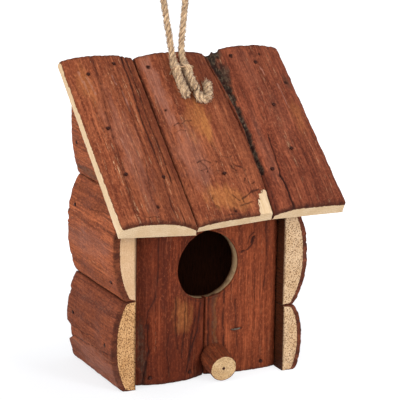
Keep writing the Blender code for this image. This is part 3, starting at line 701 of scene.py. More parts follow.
def entrance_wear_and_shade(slab, spots):
    """How chipped the bark is round the entrance, and how much painted shade darkens the wood in its
    wall, more deeply in.
    """
    world = spots @ np.array(slab.turn).T + np.array(slab.origin - SHIFT)
    off_x, off_z = world[:, 0] - ENTRANCE[0], world[:, 2] - ENTRANCE[1]
    off = np.hypot(off_x, off_z) - ENTRANCE_RADIUS
    z = spots[:, 2] / MM
    wall = ramp(*WALL_REACH, off)
    torn = noise(np.arctan2(off_x, off_z) * 14, z / 1.5, 19)
    chipped = ramp(*CHIPPED_REACH, off) * (1 - wall)
    bore_shade = ramp(5.5, 1.5, z - 4.0 * (torn - 0.5))
    return chipped * (0.20 + 0.55 * torn), wall * (0.20 + 0.45 * bore_shade)


def paint_slab(mesh, slab, bored=False):
    """Stores where each vertex is in the slab, how far under the bark, and its marks."""
    spots = np.empty(len(mesh.vertices) * 3, dtype=np.float32)
    mesh.vertices.foreach_get("co", spots)
    spots = spots.reshape(-1, 3).astype(float)
    across, along, height = spots.T
    x, y, z = across / MM, along / MM, height / MM
    _, dark = slab.bark.relief(x, y)
    stains = slab.bark.stains(x, y)
    depth = (slab.thickness(across, along) - height) / MM
    left, right = slab.full_edges(along)
    start, end = slab.span((across - left) / (right - left), height)
    near_end = np.minimum(along - start, end - along) / MM
    rim = np.exp(-((np.maximum(near_end, 0) / 2.1) ** 1.5))
    rim = rim * (0.46 + 0.34 * noise(x / 2.5, z / 2.5, slab.phase))
    dark = np.maximum(dark, rim * (1 - stains["bare"]))
    depth = depth + slab.thin_edge * ramp(2.2, 0.2, (across - left) / MM)
    depth = depth * (1 - 0.8 * stains["moss"])
    for barked, away in zip(slab.barked_sides, (across - left, right - across)):
        if barked:
            near = ramp(0.9, 0.45, away / MM) * ramp(0.05, 0.4, z)
            depth = blend(depth, 0.25 * depth, near)
            dark = np.maximum(dark, 0.40 * near)
    # Painted shade on the slab's inner face, ragged near its ends, and on the entrance's wall, darker
    # deeper in
    inside_shade = 0 * height
    if slab.dark_inside:
        ragged = 2.2 * np.maximum(noise(x / 1.3, y / 1.3, slab.bark.seed + 12) - 0.35, 0)
        ragged = ragged * ramp(0.5, 1.5, near_end)
        inside_shade = ramp(0.6, 0.1, z - ragged)
    if bored:
        chipped, shaded = entrance_wear_and_shade(slab, spots)
        dark = np.maximum(dark, chipped)
        inside_shade = np.maximum(inside_shade, shaded)
    set_values(mesh, "inside_shade", inside_shade)
    crown = blend(left, right, slab.crown_share)
    set_values(mesh, "ring", np.hypot((across - crown) / MM, z + PITH_DEPTH))
    set_grain(mesh, spots / MM + np.array([slab.bark.seed * 13.7, slab.bark.seed * 3.1, 0]))
    set_values(mesh, "bark_depth", depth)
    set_values(mesh, "furrow", dark)
    for kind, amount in stains.items():
        set_values(mesh, kind, amount)


def cut_bore(piece, bore, matrix):
    """Takes the entrance's bore, which stands in the world, out of a slab in its own frame."""
    cutter = add_object("bore", bore)
    cutter.matrix_world = matrix.inverted()
    modifier = piece.modifiers.new("bore", "BOOLEAN")
    modifier.operation = "DIFFERENCE"
    modifier.solver = "EXACT"
    modifier.object = cutter
    bpy.context.view_layer.update()
    graph = bpy.context.evaluated_depsgraph_get()
    cut = bpy.data.meshes.new_from_object(piece.evaluated_get(graph))
    piece.modifiers.clear()
    piece.data = cut
    bpy.data.objects.remove(cutter, do_unlink=True)


def add_slab(slab, material, step=0.8 * MM, levels=8, bore=None):
    """Makes a slab's piece, bored and painted, and gives it the pits that its brads sit in."""
    slab.bark.pits = (*slab.bark.pits, *brad_pits(slab))
    piece = add_object(slab.node + "_barked", slab_mesh(slab, step, levels))
    if bore:
        cut_bore(piece, bore, slab.matrix())
    mesh = piece.data
    paint_slab(mesh, slab, bool(bore))
    mesh.transform(slab.matrix())
    mesh.materials.clear()
    mesh.materials.append(material)
    mesh.shade_smooth()
    mesh.set_sharp_from_angle(angle=SHARP_ANGLE)
    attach(piece, "root")
    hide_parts(slab.node)


# The slabs' places
def slope_height(y):
    """How high the roof's flat side is over a place."""
    return EAVES_HEIGHT + (y - EAVES_Y) * math.tan(ROOF_SLOPE)


def roof_slabs(barks):
    """The three slabs that lie down the slope."""
    half_gap = FIT_GAP / 2
    origin = (ROOF_MIDDLE - ROOF_WIDTH / 2, EAVES_Y, EAVES_HEIGHT)
    along = (0, math.cos(ROOF_SLOPE), math.sin(ROOF_SLOPE))
    out = (0, -math.sin(ROOF_SLOPE), math.cos(ROOF_SLOPE))
    left, front, back = LEFT_SEAM, RIGHT_SEAM_FRONT, RIGHT_SEAM_BACK
    edges = (
        ((0.0, 0.0), (left - half_gap, left - half_gap)),
        ((left + half_gap, left + half_gap), (front - half_gap, back - half_gap)),
        ((front + half_gap, back + half_gap), (ROOF_WIDTH, ROOF_WIDTH)),
    )
    bows = ((0.0, 0.0), (0.0, RIGHT_SEAM_BOW), (RIGHT_SEAM_BOW, 0.0))
    slabs = []
    for i, place in enumerate(("left", "middle", "right")):
        slab = Slab(
            f"roof_slab_{place}", origin, along, out, ROOF_LENGTH, edges[i],
            ROOF_THICKNESSES[i], ROOF_CROWN_SHARES[i], barks[i],
        )
        slab.bows = bows[i]
        slab.ends_ahead = ROOF_ENDS_AHEAD[i]
        slab.start_lean = ROOF_END_LEAN
        slabs.append(slab)
    return slabs


def side_slabs(side, places, lows, thicknesses, ends_ahead, barks):
    """The courses of a side wall, lying level and cut off under the roof."""
    name = "left" if side < 0 else "right"
    top = slope_height(HALF_DEPTH) + TOP_TRIM
    slabs = []
    for i, low in enumerate(lows):
        high = lows[i + 1] if i + 1 < len(lows) else top
        width = high - low - FIT_GAP
        foot = low if side < 0 else low + width
        sizes = thicknesses[i] if side < 0 else [tuple(reversed(end)) for end in thicknesses[i]]
        slab = Slab(
            f"side_slab_{name}_{places[i]}", (side * HALF_WIDTH, -HALF_DEPTH, foot), (0, 1, 0),
            (side, 0, 0), 2 * HALF_DEPTH, ((0, 0), (width, width)), sizes, SIDE_CROWN_SHARE,
            barks[i],
        )
        slab.ends_ahead = (ends_ahead[i], ends_ahead[i])

        def trim(along, left, right, low=low, width=width):
            room = slope_height(along - HALF_DEPTH) - low - THINNEST
            room = np.clip(room, THINNEST, width)
            if side < 0:
                return left, np.minimum(right, room)
            return np.maximum(left, width - room), right

        slab.trim = trim
        lowest = (low + LOWEST_ROOM - EAVES_HEIGHT) / math.tan(ROOF_SLOPE) + EAVES_Y + HALF_DEPTH
        if lowest > 0:
            slab.first = lowest
        slab.barked_sides = (True, True)
        slabs.append(slab)
    return slabs


def upright_slabs(side, seam, thicknesses, crown_shares, barks):
    """The two slabs of the front or back wall, standing side by side."""
    name = "front" if side < 0 else "back"
    outer = HALF_WIDTH - FIT_GAP
    spans = ((-outer, seam - FIT_GAP / 2), (seam + FIT_GAP / 2, outer))
    inner_top = slope_height(side * HALF_INNER_DEPTH)
    slabs = []
    for i, place in enumerate(("left", "right")):
        left, right = spans[i]
        start = left if side < 0 else right
        width = right - left
        slab = Slab(
            f"{name}_slab_{place}", (start, side * HALF_INNER_DEPTH, WALL_LIFT), (0, 0, 1),
            (0, side, 0), inner_top + TOP_OVERRUN, ((0, 0), (width, width)), thicknesses[i],
            crown_shares[i], barks[i],
        )
        slab.end = inner_top - WALL_LIFT - TOP_GAP
        slab.end_lean = side * ROOF_SLOPE
        slab.dark_inside = True
        slab.barked_sides = (True, True)
        slabs.append(slab)
    return slabs


BORE_WAVE = 0.00016


def bore_mesh():
    """The round cutter of the entrance, with fine rings so that its wall can be ragged."""
    shape = bmesh.new()
    sides, rings, depth = 120, 26, 0.045
    loops = []
    for j in range(rings + 1):
        y = -HALF_DEPTH - depth / 2 + depth * j / rings
        loop = []
        for i in range(sides):
            angle = math.tau * i / sides
            ragged = BORE_WAVE * math.sin(7 * angle + 2 * j) * math.sin(3.1 * j + 5 * angle)
            radius = ENTRANCE_RADIUS + ragged
            x = ENTRANCE[0] + radius * math.cos(angle)
            z = ENTRANCE[1] + radius * math.sin(angle)
            loop.append(shape.verts.new(Vector((x, y, z)) + SHIFT))
        loops.append(loop)
    for near, far in zip(loops, loops[1:]):
        for i in range(sides):
            j = (i + 1) % sides
            shape.faces.new((near[i], near[j], far[j], far[i]))
    shape.faces.new(loops[0])
    shape.faces.new(loops[-1])
    bmesh.ops.recalc_face_normals(shape, faces=shape.faces)
    mesh = bpy.data.meshes.new("entrance_bore")
    shape.to_mesh(mesh)
    shape.free()
    return mesh


# Materials
def new_material(name):
    """A material with the wiring of its nodes and its shader."""
    material = bpy.data.materials.new(name)
    material.use_nodes = True
    return material, Wiring(material.node_tree), material.node_tree.nodes["Principled BSDF"]


def new_group(name, inputs):
    """A group that gives a colour, a roughness and a height.

    inputs: for each socket its kind, or its usual value if it is a number.
    """
    group = bpy.data.node_groups.new(name, "ShaderNodeTree")
    for label, kind in inputs.items():
        is_number = not isinstance(kind, str)
        full_kind = "NodeSocketFloat" if is_number else "NodeSocket" + kind
        socket = group.interface.new_socket(label, in_out="INPUT", socket_type=full_kind)
        if is_number:
            socket.default_value = kind
    for label, kind in (("Colour", "Color"), ("Roughness", "Float"), ("Height", "Float")):
        group.interface.new_socket(label, in_out="OUTPUT", socket_type="NodeSocket" + kind)
    given = group.nodes.new("NodeGroupInput").outputs
    return group, Wiring(group), given, group.nodes.new("NodeGroupOutput")


# Tones of bark, wood and jute, each with the tone that its pattern turns to
FIBRE_GAIN = (1.78, 1.78, 1.68)
FIBRE_TONE = (0.80, 0.44, 0.22)
FLECK_TONE = (0.72, 0.42, 0.23)
ASH_TONES = ((0.36, 0.155, 0.105), (0.22, 0.080, 0.052))
OCHRE_TONES = ((0.52, 0.200, 0.055), (0.34, 0.110, 0.032))
MOSS_TONES = ((0.028, 0.019, 0.013), (0.135, 0.090, 0.056))
MOSS_CLUMP_TONE = (0.017, 0.009, 0.006)
# Dark bark with painted shade, for furrows, cracks and pits
CLEFT_DARK_AND_SHADE_TONE = (0.022, 0.006, 0.004)
BARK_EDGE_TONE = (0.10, 0.032, 0.014)
PORE_TONE = (0.20, 0.080, 0.028)
# Painted shade on the wood inside the box and in the entrance
SHADED_WOOD_TONES = ((0.054, 0.0130, 0.0036), (0.026, 0.0062, 0.0018))
JUTE_TONES = ((0.22, 0.108, 0.048), (0.73, 0.505, 0.295))
JUTE_CLOUD_TONE = (0.73, 0.53, 0.31)
# Painted shade where the jute's strands and yarns meet, and its darker hairs
JUTE_CLEFT_SHADE_TONE = (0.10, 0.045, 0.020)


def bark_group():
    """Bark with bands, threads and grit along its grain, bright fibres, stains and dark clefts; the
    clefts, and the deep stain in places, are painted shade as well as dark bark.
    """
    group, wire, given, end = new_group(
        "fibrous_bark",
        {
            "Grain": "Vector", "Furrow": 0.0, "Ochre": 0.0, "Moss": 0.0, "Ash": 0.0, "Deep": 0.0,
            "Light": "Color", "Middle": "Color", "Dark": "Color", "Fleck": 0.5,
        },
    )
    grain, light, middle, dark = (given[name] for name in ("Grain", "Light", "Middle", "Dark"))
    threads = wire.noise(grain, (0.80, 0.030, 0.4), 4.0, 0.75)
    fine = wire.noise(grain, (1.7, 0.13, 0.9), 3.0, 0.75)
    bands = wire.noise(grain, (0.26, 0.007, 0.12), 3.0, 0.6)
    blotch = wire.noise(grain, (0.11, 0.045, 0.1), 4.0, 0.65)
    grit = wire.noise(grain, (0.85, 0.45, 0.85), 4.0, 0.80)
    tone = wire.mix(wire.spread(blotch, 0.40, 0.60), middle, light)
    for pattern, low, high, strength in (
        (bands, 0.46, 0.62, 0.60), (threads, 0.51, 0.64, 0.70), (fine, 0.52, 0.68, 0.50),
        (grit, 0.51, 0.64, 0.55),
    ):
        tone = wire.mix(wire.spread(pattern, low, high, 0, strength), tone, dark)
    bright = wire.mix(0.07, wire.mix(1.0, light, FIBRE_GAIN, "MULTIPLY"), FIBRE_TONE)
    for pattern, low, high in ((grit, 0.48, 0.36), (threads, 0.46, 0.35)):
        tone = wire.mix(wire.spread(pattern, low, high, 0, 0.42), tone, bright)
    flecks = wire.noise(grain, (1.9, 0.15, 1.0), 3.0, 0.8)
    place = wire.noise(grain, (0.62, 0.013, 0.4), 2.0, 0.6)
    flecks = wire.math("MULTIPLY", wire.spread(flecks, 0.55, 0.66), wire.spread(place, 0.55, 0.64))
    tone = wire.mix(wire.math("MULTIPLY", flecks, given["Fleck"]), tone, FLECK_TONE)
    clumps = wire.noise(grain, (0.50, 0.28, 0.50), 3.0, 0.65)
    moss = wire.mix(wire.spread(grit, 0.40, 0.66), *MOSS_TONES)
    for stain, stain_tone in (
        ("Ash", wire.mix(wire.spread(fine, 0.42, 0.62), *ASH_TONES)),
        ("Deep", wire.mix(wire.spread(grit, 0.42, 0.62), wire.mix(0.5, middle, dark), dark)),
        ("Ochre", wire.mix(wire.spread(grit, 0.40, 0.68), *OCHRE_TONES)),
        ("Moss", wire.mix(wire.spread(clumps, 0.44, 0.58, 0, 0.80), moss, MOSS_CLUMP_TONE)),
    ):
        tone = wire.mix(given[stain], tone, stain_tone)
    height = wire.math("ADD", wire.math("MULTIPLY", threads, -0.45), wire.math("MULTIPLY", grit, -0.65))
    wire.feed(end, {
        "Colour": wire.mix(wire.spread(given["Furrow"], 0.05, 1.0, 0, 0.94), tone, CLEFT_DARK_AND_SHADE_TONE),
        "Roughness": wire.spread(blotch, 0.3, 0.7, 0.66, 0.84),
        "Height": wire.math("ADD", height, wire.math("MULTIPLY", fine, -0.30)),
    })
    return group


def wood_group():
    """Sawn wood with rings, specks and pores, darkened with painted shade inside the box and deep in the
    entrance.
    """
    group, wire, given, end = new_group(
        "sawn_wood_grain",
        {
            "Grain": "Vector", "Pale": "Color", "Deep": "Color", "Pores": 0.3, "Ring": 0.0,
            "PaintedShade": 0.0,
        },
    )
    grain, pale, deep = given["Grain"], given["Pale"], given["Deep"]
    specks = wire.noise(grain, (1.5, 0.12, 1.5), 3.0, 0.7)
    pores = wire.cells(grain, (1.15, 0.06, 1.15))
    clouds = wire.noise(grain, (0.16, 0.02, 0.16), 3.0, 0.5)
    wave = wire.math("ADD", wire.math("MULTIPLY", given["Ring"], 4.2), wire.math("MULTIPLY", clouds, 5.0))
    tone = wire.mix(wire.spread(clouds, 0.35, 0.7, 0, 0.5), pale, deep)
    tone = wire.mix(wire.spread(specks, 0.46, 0.68, 0, 0.85), tone, deep)
    tone = wire.mix(wire.spread(wire.math("SINE", wave, 0.0), 0.1, 1.0, 0, 0.35), tone, deep)
    hole = wire.math("MULTIPLY", wire.spread(pores, 0.46, 0.18), given["Pores"])
    tone = wire.mix(hole, tone, PORE_TONE)
    shaded = wire.mix(wire.spread(specks, 0.40, 0.66), *SHADED_WOOD_TONES)
    wire.feed(end, {
        "Colour": wire.mix(given["PaintedShade"], tone, shaded),
        "Roughness": wire.spread(clouds, 0.3, 0.7, 0.60, 0.74),
        "Height": wire.math("SUBTRACT", wire.math("MULTIPLY", specks, -0.5), hole),
    })
    return group


def barked_material(name, groups, light, middle, dark, pale, deep, fleck, pores, thick):
    """Bark outside, and wood wherever a place is deeper than the bark is thick."""
    material, wire, shader = new_material(name)
    grain = wire.stored("grain", "Vector")
    fed = {"Grain": grain, "Light": light, "Middle": middle, "Dark": dark, "Fleck": fleck}
    for mark in ("Furrow", "Ochre", "Moss", "Ash", "Deep"):
        fed[mark] = wire.stored(mark.lower())
    bark = wire.node("ShaderNodeGroup", fed, node_tree=groups[0]).outputs
    fed = {"Grain": grain, "Pale": pale, "Deep": deep, "Pores": pores}
    fed.update({"PaintedShade": wire.stored("inside_shade"), "Ring": wire.stored("ring")})
    wood = wire.node("ShaderNodeGroup", fed, node_tree=groups[1]).outputs
    wander = wire.noise(grain, (0.80, 0.3, 0.80), 4.0, 0.7)
    depth = wire.math("SUBTRACT", wire.stored("bark_depth"), wire.math("MULTIPLY", wander, 1.6))
    edge = thick - 0.8
    under = wire.spread(depth, edge - 0.12, edge + 0.12)
    under = wire.math("MAXIMUM", under, wire.spread(wire.stored("bare"), 0.4, 0.6))
    seam = wire.spread(depth, thick - 1.7, thick - 0.9)
    seam = wire.math("MULTIPLY", seam, wire.math("SUBTRACT", 1.0, under))
    tone = wire.mix(under, bark["Colour"], wood["Colour"])
    height = wire.between(under, bark["Height"], wood["Height"])
    wire.feed(shader, {
        "Base Color": wire.mix(wire.math("MULTIPLY", seam, 0.55), tone, BARK_EDGE_TONE),
        "Roughness": wire.between(under, bark["Roughness"], wood["Roughness"]),
        "Normal": wire.bump({"Height": height, "Distance": 0.0006, "Strength": 0.8}),
        "Specular IOR Level": 0.12,
    })
    return material


def plain_wood_material(name, wood_tree, pale, deep, scale):
    """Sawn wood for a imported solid, with its grain along x."""
    material, wire, shader = new_material(name)
    place = wire.node("ShaderNodeTexCoord").outputs["Object"]
    fed = {"Grain": wire.stretch(place, scale), "Pale": pale, "Deep": deep}
    wood = wire.node("ShaderNodeGroup", fed, node_tree=wood_tree).outputs
    wire.feed(shader, {
        "Base Color": wood["Colour"],
        "Roughness": wood["Roughness"],
        "Normal": wire.bump({"Height": wood["Height"], "Distance": 0.0004}),
    })
    return material


def steel_material(name, bright, tarnish, share, shine=0.5):
    """Steel that has tarnished in spots; share moves it towards bright."""
    material, wire, shader = new_material(name)
    place = wire.node("ShaderNodeTexCoord").outputs["Object"]
    stain = wire.noise(place, (900, 900, 900), 3.0, 0.6)
    wire.feed(shader, {
        "Base Color": wire.mix(wire.spread(stain, share, share + 0.2), bright, tarnish),
        "Roughness": wire.spread(stain, 0.3, 0.7, 0.45, 0.75),
        "Metallic": wire.spread(stain, share, share + 0.25, 1.8 * shine, 0.1),
        "Specular IOR Level": shine,
    })
    return material


def jute_material():
    material, wire, shader = new_material("twisted_jute")
    grain = wire.stored("grain", "Vector")
    hair = wire.noise(grain, (1.5, 0.45, 1.5), 4.0, 0.75, 0.3)
    cloud = wire.noise(grain, (0.4, 0.08, 0.4), 2.0, 0.5)
    tone = wire.mix(wire.spread(hair, 0.40, 0.58), *JUTE_TONES)
    tone = wire.mix(wire.spread(cloud, 0.4, 0.7, 0, 0.4), tone, JUTE_CLOUD_TONE)
    # The cleft values paint shade where strands and yarns meet, and darken some hairs
    wire.feed(shader, {
        "Base Color": wire.mix(wire.math("MULTIPLY", wire.stored("cleft"), 0.85), tone, JUTE_CLEFT_SHADE_TONE),
        "Roughness": 0.9,
        "Sheen Weight": 0.25,
        "Normal": wire.bump({"Height": hair, "Distance": 0.0003}),
    })
    return material


# The cord
def curve_through(points, spacing):
    """Evenly spaced points of a smooth curve through a route's points."""
    fine = []
    for i, (here, there) in enumerate(zip(points, points[1:])):
        before = points[max(i - 1, 0)]
        after = points[min(i + 2, len(points) - 1)]
        cubic = -before + 3 * here - 3 * there + after
        square = 2 * before - 5 * here + 4 * there - after
        linear = there - before
        for k in range(24):
            t = k / 24
            fine.append(here + (linear * t + square * t**2 + cubic * t**3) / 2)
    fine.append(points[-1])
    reaches = [0.0]
    for a, b in zip(fine, fine[1:]):
        reaches.append(reaches[-1] + (b - a).length)
    count = max(2, round(reaches[-1] / spacing))
    even = []
    at = 0
    for i in range(count + 1):
        want = reaches[-1] * i / count
        while at < len(fine) - 2 and reaches[at + 1] < want:
            at += 1
        share = (want - reaches[at]) / (reaches[at + 1] - reaches[at])
        even.append(fine[at].lerp(fine[at + 1], min(share, 1)))
    return even, reaches[-1]


def frames_along(points):
    """Directions across a line that turn with it and don't spin."""
    tangents = []
    for i in range(len(points)):
        before, after = points[max(i - 1, 0)], points[min(i + 1, len(points) - 1)]
        tangents.append((after - before).normalized())
    side = tangents[0].cross(Vector((0, 0, 1)))
    if side.length < 0.1:
        side = tangents[0].cross(Vector((1, 0, 0)))
    side.normalize()
    frames = []
    for tangent in tangents:
        side = (side - tangent * side.dot(tangent)).normalized()
        frames.append((tangent, side, tangent.cross(side)))
    return frames


def ring_faces(sides, rings, base=0):
    """Faces from each ring of points to the next."""
    faces = []
    for j in range(rings - 1):
        a, b = base + j * sides, base + (j + 1) * sides
        for k in range(sides):
            m = (k + 1) % sides
            faces.append((a + k, a + m, b + m, b + k))
    return faces


class TubeBuilder:
    """Gathers tubes into one mesh with their grain and cleft values; the cleft values darken the jute, as
    painted shade where strands and yarns meet and as darker hairs.
    """

    def __init__(self):
        self.points = []
        self.faces = []
        self.grain = []
        self.cleft = []

    def tube(self, line, radii, sides, clefts=None, phase=0.0, lumpy=0.0, shade=0.0):
        """A closed tube along a line, with a lumpy skin."""
        base = len(self.points)
        travelled = 0.0
        for i, (_, side, up) in enumerate(frames_along(line)):
            if i:
                travelled += (line[i] - line[i - 1]).length
            for k in range(sides):
                angle = math.tau * k / sides
                out = side * math.cos(angle) + up * math.sin(angle)
                lump = 2 + math.sin(i * 1.7 + k * 2.4 + phase) + math.sin(i * 0.63 - k * 1.9)
                self.points.append(line[i] + out * radii[i] * (1 - lumpy * lump))
                turn = radii[i] / MM
                self.grain.append(
                    (phase + turn * math.cos(angle), travelled / MM, turn * math.sin(angle))
                )
                self.cleft.append(shade if clefts is None else clefts(i, out))
        self.faces += ring_faces(sides, len(line), base)
        last = base + (len(line) - 1) * sides
        self.faces.append(tuple(base + k for k in reversed(range(sides))))
        self.faces.append(tuple(last + k for k in range(sides)))

    def finish(self, name, material):
        mesh = bpy.data.meshes.new(name)
        mesh.from_pydata([tuple(p) for p in self.points], [], self.faces)
        set_grain(mesh, self.grain)
        set_values(mesh, "cleft", np.array(self.cleft))
        mesh.materials.append(material)
        mesh.shade_smooth()
        return add_object(name, mesh)


# The cord's strands: how far they lie from its middle and how thick they are, as shares of its
# radius, how far they open on the roof, how much yarn is loose, how long and how thick it is, and
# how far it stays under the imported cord's top
YARN_SEED = 7
STRAND_OFFSET = 0.47
STRAND_RADIUS = 0.55
OPENING = 0.38
OPENING_HEIGHT = 0.006
FRAYING_LENGTH = 0.004
HAIRS_PER_MM = 18
HAIR_LENGTHS = (0.0009, 0.0024)
HAIR_RADII = (0.00008, 0.00014)
TOP_MARGIN = 0.0003
FRAYED_THREADS = 70
THREAD_LENGTHS = (0.0012, 0.0030)
THREAD_RADII = (0.00009, 0.00008, 0.00003)
THREAD_SPREAD = 0.0009

# The yarn over the staple's crown: how many yarns lie on each side of the middle one, in how many
# steps from the crown, how far apart, how thick, how high, and how far the bulge rises and reaches
YARNS_ASIDE = 3
YARN_STEPS = 7
YARN_SPACING = 0.00062
YARN_RADIUS = 0.00052
YARN_HEIGHT = 0.0011
BULGE_HEIGHT = 0.0023
BULGE_REACH = 0.0025


def lay_cord(builder, line, random, frayed=False):
    """Three twisted strands with loose hairs, which open out where the cord lies on the roof."""
    frames = frames_along(line)
    radius = CORD_DIAMETER / 2
    low, high = ROOF_TOP.z + OPENING_HEIGHT, ROOF_TOP.z - OPENING_HEIGHT
    opened = [1 + OPENING * float(ramp(low, high, point.z)) for point in line]
    count = len(line)
    spacing = (line[1] - line[0]).length

    def towards(i, strand):
        _, side, up = frames[i]
        angle = math.tau * (i * spacing / CORD_LAY + strand / 3)
        return side * math.cos(angle) + up * math.sin(angle)

    for strand in range(3):
        points, radii = [], []
        for i, point in enumerate(line):
            end_share = min(i, count - 1 - i) * spacing / (1.2 * radius)
            close = 1.0
            if frayed:
                close += 0.25 * (1 - min(1.0, (count - 1 - i) * spacing / FRAYING_LENGTH))
            swell = 1 + 0.05 * math.sin(i * 0.9 + strand * 2)
            points.append(point + towards(i, strand) * radius * opened[i] * STRAND_OFFSET * close)
            rounded = min(1.0, 0.45 + 0.55 * end_share)
            radii.append(radius * opened[i] * STRAND_RADIUS * swell * rounded)

        # Painted shade on the side of each strand that faces the other two
        def cleft(i, out, strand=strand):
            return float(np.clip(0.55 - out.dot(towards(i, strand)), 0, 1))

        builder.tube(points, radii, 10, cleft, strand * 9.0, 0.06)
    for _ in range(int(count * spacing / MM * HAIRS_PER_MM)):
        i = random.randrange(1, count - 2)
        if opened[i] < 1.1 and random.random() < 0.5:
            continue
        tangent, side, up = frames[i]
        angle = random.uniform(0, math.tau)
        out = side * math.cos(angle) + up * math.sin(angle)
        root = line[i] + out * radius * opened[i] * 0.92
        around = tangent.cross(out)
        lean = tangent * random.uniform(0.2, 1.0) + around * random.uniform(0.2, 1.1)
        long = random.uniform(*HAIR_LENGTHS)
        rise = random.choice((-0.05, 0.05, 0.1, 0.5)) * random.random()
        tip = root + (lean + out * rise).normalized() * long
        middle = root.lerp(tip, 0.5) + out * long * 0.14
        if max(middle.z, tip.z) > cad_box[1][2] - TOP_MARGIN:
            continue
        thin = random.uniform(*HAIR_RADII)
        shade = random.choice((0.0, 0.0, 0.2, 0.9))
        radii = [thin, thin * 0.9, thin * 0.4]
        builder.tube([root, middle, tip], radii, 3, None, i * 0.3, shade=shade)


def hide_staple(builder, line):
    """Yarn that bulges over the staple's crown on each strand, so that only its ends show."""
    crown = max((v.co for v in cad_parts["cord_staple"].data.vertices), key=lambda co: co.z)
    above = Vector((0, -math.sin(ROOF_SLOPE), math.cos(ROOF_SLOPE)))
    downhill = above.cross(Vector((1, 0, 0)))
    spacing = (line[1] - line[0]).length
    low = [i for i, p in enumerate(line) if p.z < ROOF_TOP.z]
    for half in (low[: len(low) // 2], low[len(low) // 2 :]):
        middle = min(half, key=lambda i: abs((line[i] - crown).dot(downhill)))
        for k in range(-YARNS_ASIDE, YARNS_ASIDE + 1):
            points, radii = [], []
            for step in range(-YARN_STEPS, YARN_STEPS + 1):
                i = min(max(middle + step, 0), len(line) - 1)
                reach = step * spacing
                bulge = BULGE_HEIGHT * math.exp(-((reach / BULGE_REACH) ** 2))
                lift = YARN_HEIGHT + bulge - 0.00012 * k * k
                aside = k * YARN_SPACING + 0.22 * reach
                points.append(line[i] + above * lift + Vector((aside, 0, 0)))
                radii.append(YARN_RADIUS * (1 - 0.35 * (step / YARN_STEPS) ** 2))
            # Every other yarn is darkened as painted shade between the yarns
            builder.tube(points, radii, 8, None, k * 3.1, 0.05, shade=0.25 * (k % 2))


def fray_end(builder, line, random):
    """Loose threads at the end of a line."""
    ahead = (line[-1] - line[-4]).normalized()
    for _ in range(FRAYED_THREADS):
        i = len(line) - 1 - random.randrange(0, 5)
        spread = Vector([random.uniform(-1, 1) for _ in range(3)])
        root = line[i] + spread * THREAD_SPREAD
        tip = root + (ahead + spread * 0.55).normalized() * random.uniform(*THREAD_LENGTHS)
        builder.tube([root, root.lerp(tip, 0.5), tip], THREAD_RADII, 3, None, i)


def add_cords(material):
    random = Random(YARN_SEED)
    route = [ROOF_TOP + Vector(point) for point in CORD_ROUTE]
    line, length = curve_through(route, CORD_STEP)
    builder = TubeBuilder()
    lay_cord(builder, line, random)
    hide_staple(builder, line)
    cord = builder.finish("jute_cord", material)
    curl_route = [ROOF_TOP + Vector(point) for point in CURL_ROUTE]
    curl_line, _ = curve_through(curl_route, CURL_STEP)
    builder = TubeBuilder()
    lay_cord(builder, curl_line, random, frayed=True)
    fray_end(builder, curl_line, random)
    curl = builder.finish("jute_frayed_end", material)
    for piece, node in ((cord, "hanging_cord"), (curl, "cord_frayed_end")):
        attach(piece, "root")
        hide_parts(node)


# The perch, and the marks of nails and staples
def add_perch(material):
    """The stub of branch: its bark, and its sawn face with the pith in the middle."""
    root = Vector((PERCH_ACROSS, -HALF_INNER_DEPTH - PERCH_OUT, PERCH_UP)) + SHIFT
    turn = Matrix.Rotation(math.pi / 2 + PERCH_DROOP, 4, "X")
    turn = Matrix.Rotation(-PERCH_SWING, 4, "Z") @ turn
    sides, rings, face_rings = 96, 30, 16
    angles = np.linspace(0, math.tau, sides, endpoint=False)
    points, depth, dark = [], [], []
    for j in range(rings + 1):
        share = j / rings
        along = share * PERCH_LENGTH
        radius = blend(PERCH_ROOT_RADIUS, PERCH_FACE_RADIUS, share)
        round_x, round_y = 6 + 3.4 * np.cos(angles), 6 + 3.4 * np.sin(angles)
        rough_bark = rough(round_x, round_y + along / MM / 14, 311)
        turns = 16 * angles / math.tau
        grooves = furrow_lines(turns, along / MM / 20 + 0 * turns, 317, 0.10)
        worn = 0.10 * math.exp(-(1 - share) * PERCH_LENGTH / MM / 0.5)
        deep = ((0.45 * rough_bark + 0.35 * grooves) * (1 - 0.85 * share**6) + worn) * MM
        for k, angle in enumerate(angles):
            r = radius - deep[k]
            points.append((r * math.cos(angle), r * math.sin(angle), along))
            dark.append(max(0.6 * grooves[k], 0.5 * rough_bark[k] - 0.2))
        depth += [0.0] * sides
    rim = points[-sides:]
    for i in range(1, face_rings):
        share = 1 - i / face_rings
        for x, y, _ in rim:
            saw = 0.10 * MM * float(noise(np.array(x / MM * 1.3), np.array(y / MM * 1.3), 331))
            points.append((x * share, y * share, PERCH_LENGTH - saw))
        depth += [(1 - share) * PERCH_FACE_RADIUS / MM + 0.2] * sides
        dark += [0.0] * sides
    total = rings + face_rings
    pith, back = len(points), len(points) + 1
    points += [(0, 0, PERCH_LENGTH - 0.0001), (0, 0, 0)]
    depth += [PERCH_FACE_RADIUS / MM, 0.0]
    dark += [1.0, 0.0]
    faces = ring_faces(sides, total)
    last = (total - 1) * sides
    for k in range(sides):
        m = (k + 1) % sides
        faces += [(last + k, last + m, pith), (m, k, back)]
    mesh = bpy.data.meshes.new("perch_stub")
    mesh.from_pydata(points, [], faces)
    set_grain(mesh, [(x / MM, z / MM, y / MM) for x, y, z in points])
    set_values(mesh, "bark_depth", np.array(depth))
    set_values(mesh, "furrow", np.array(dark))
    set_values(mesh, "ring", np.array([0.66 * math.hypot(x, y) / MM for x, y, _ in points]))
    mesh.transform(Matrix.Translation(root) @ turn)
    mesh.materials.append(material)
    mesh.shade_smooth()
    mesh.set_sharp_from_angle(angle=PERCH_SHARP_ANGLE)
    piece = add_object("perch_stub", mesh)
    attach(piece, "root")
    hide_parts("perch")


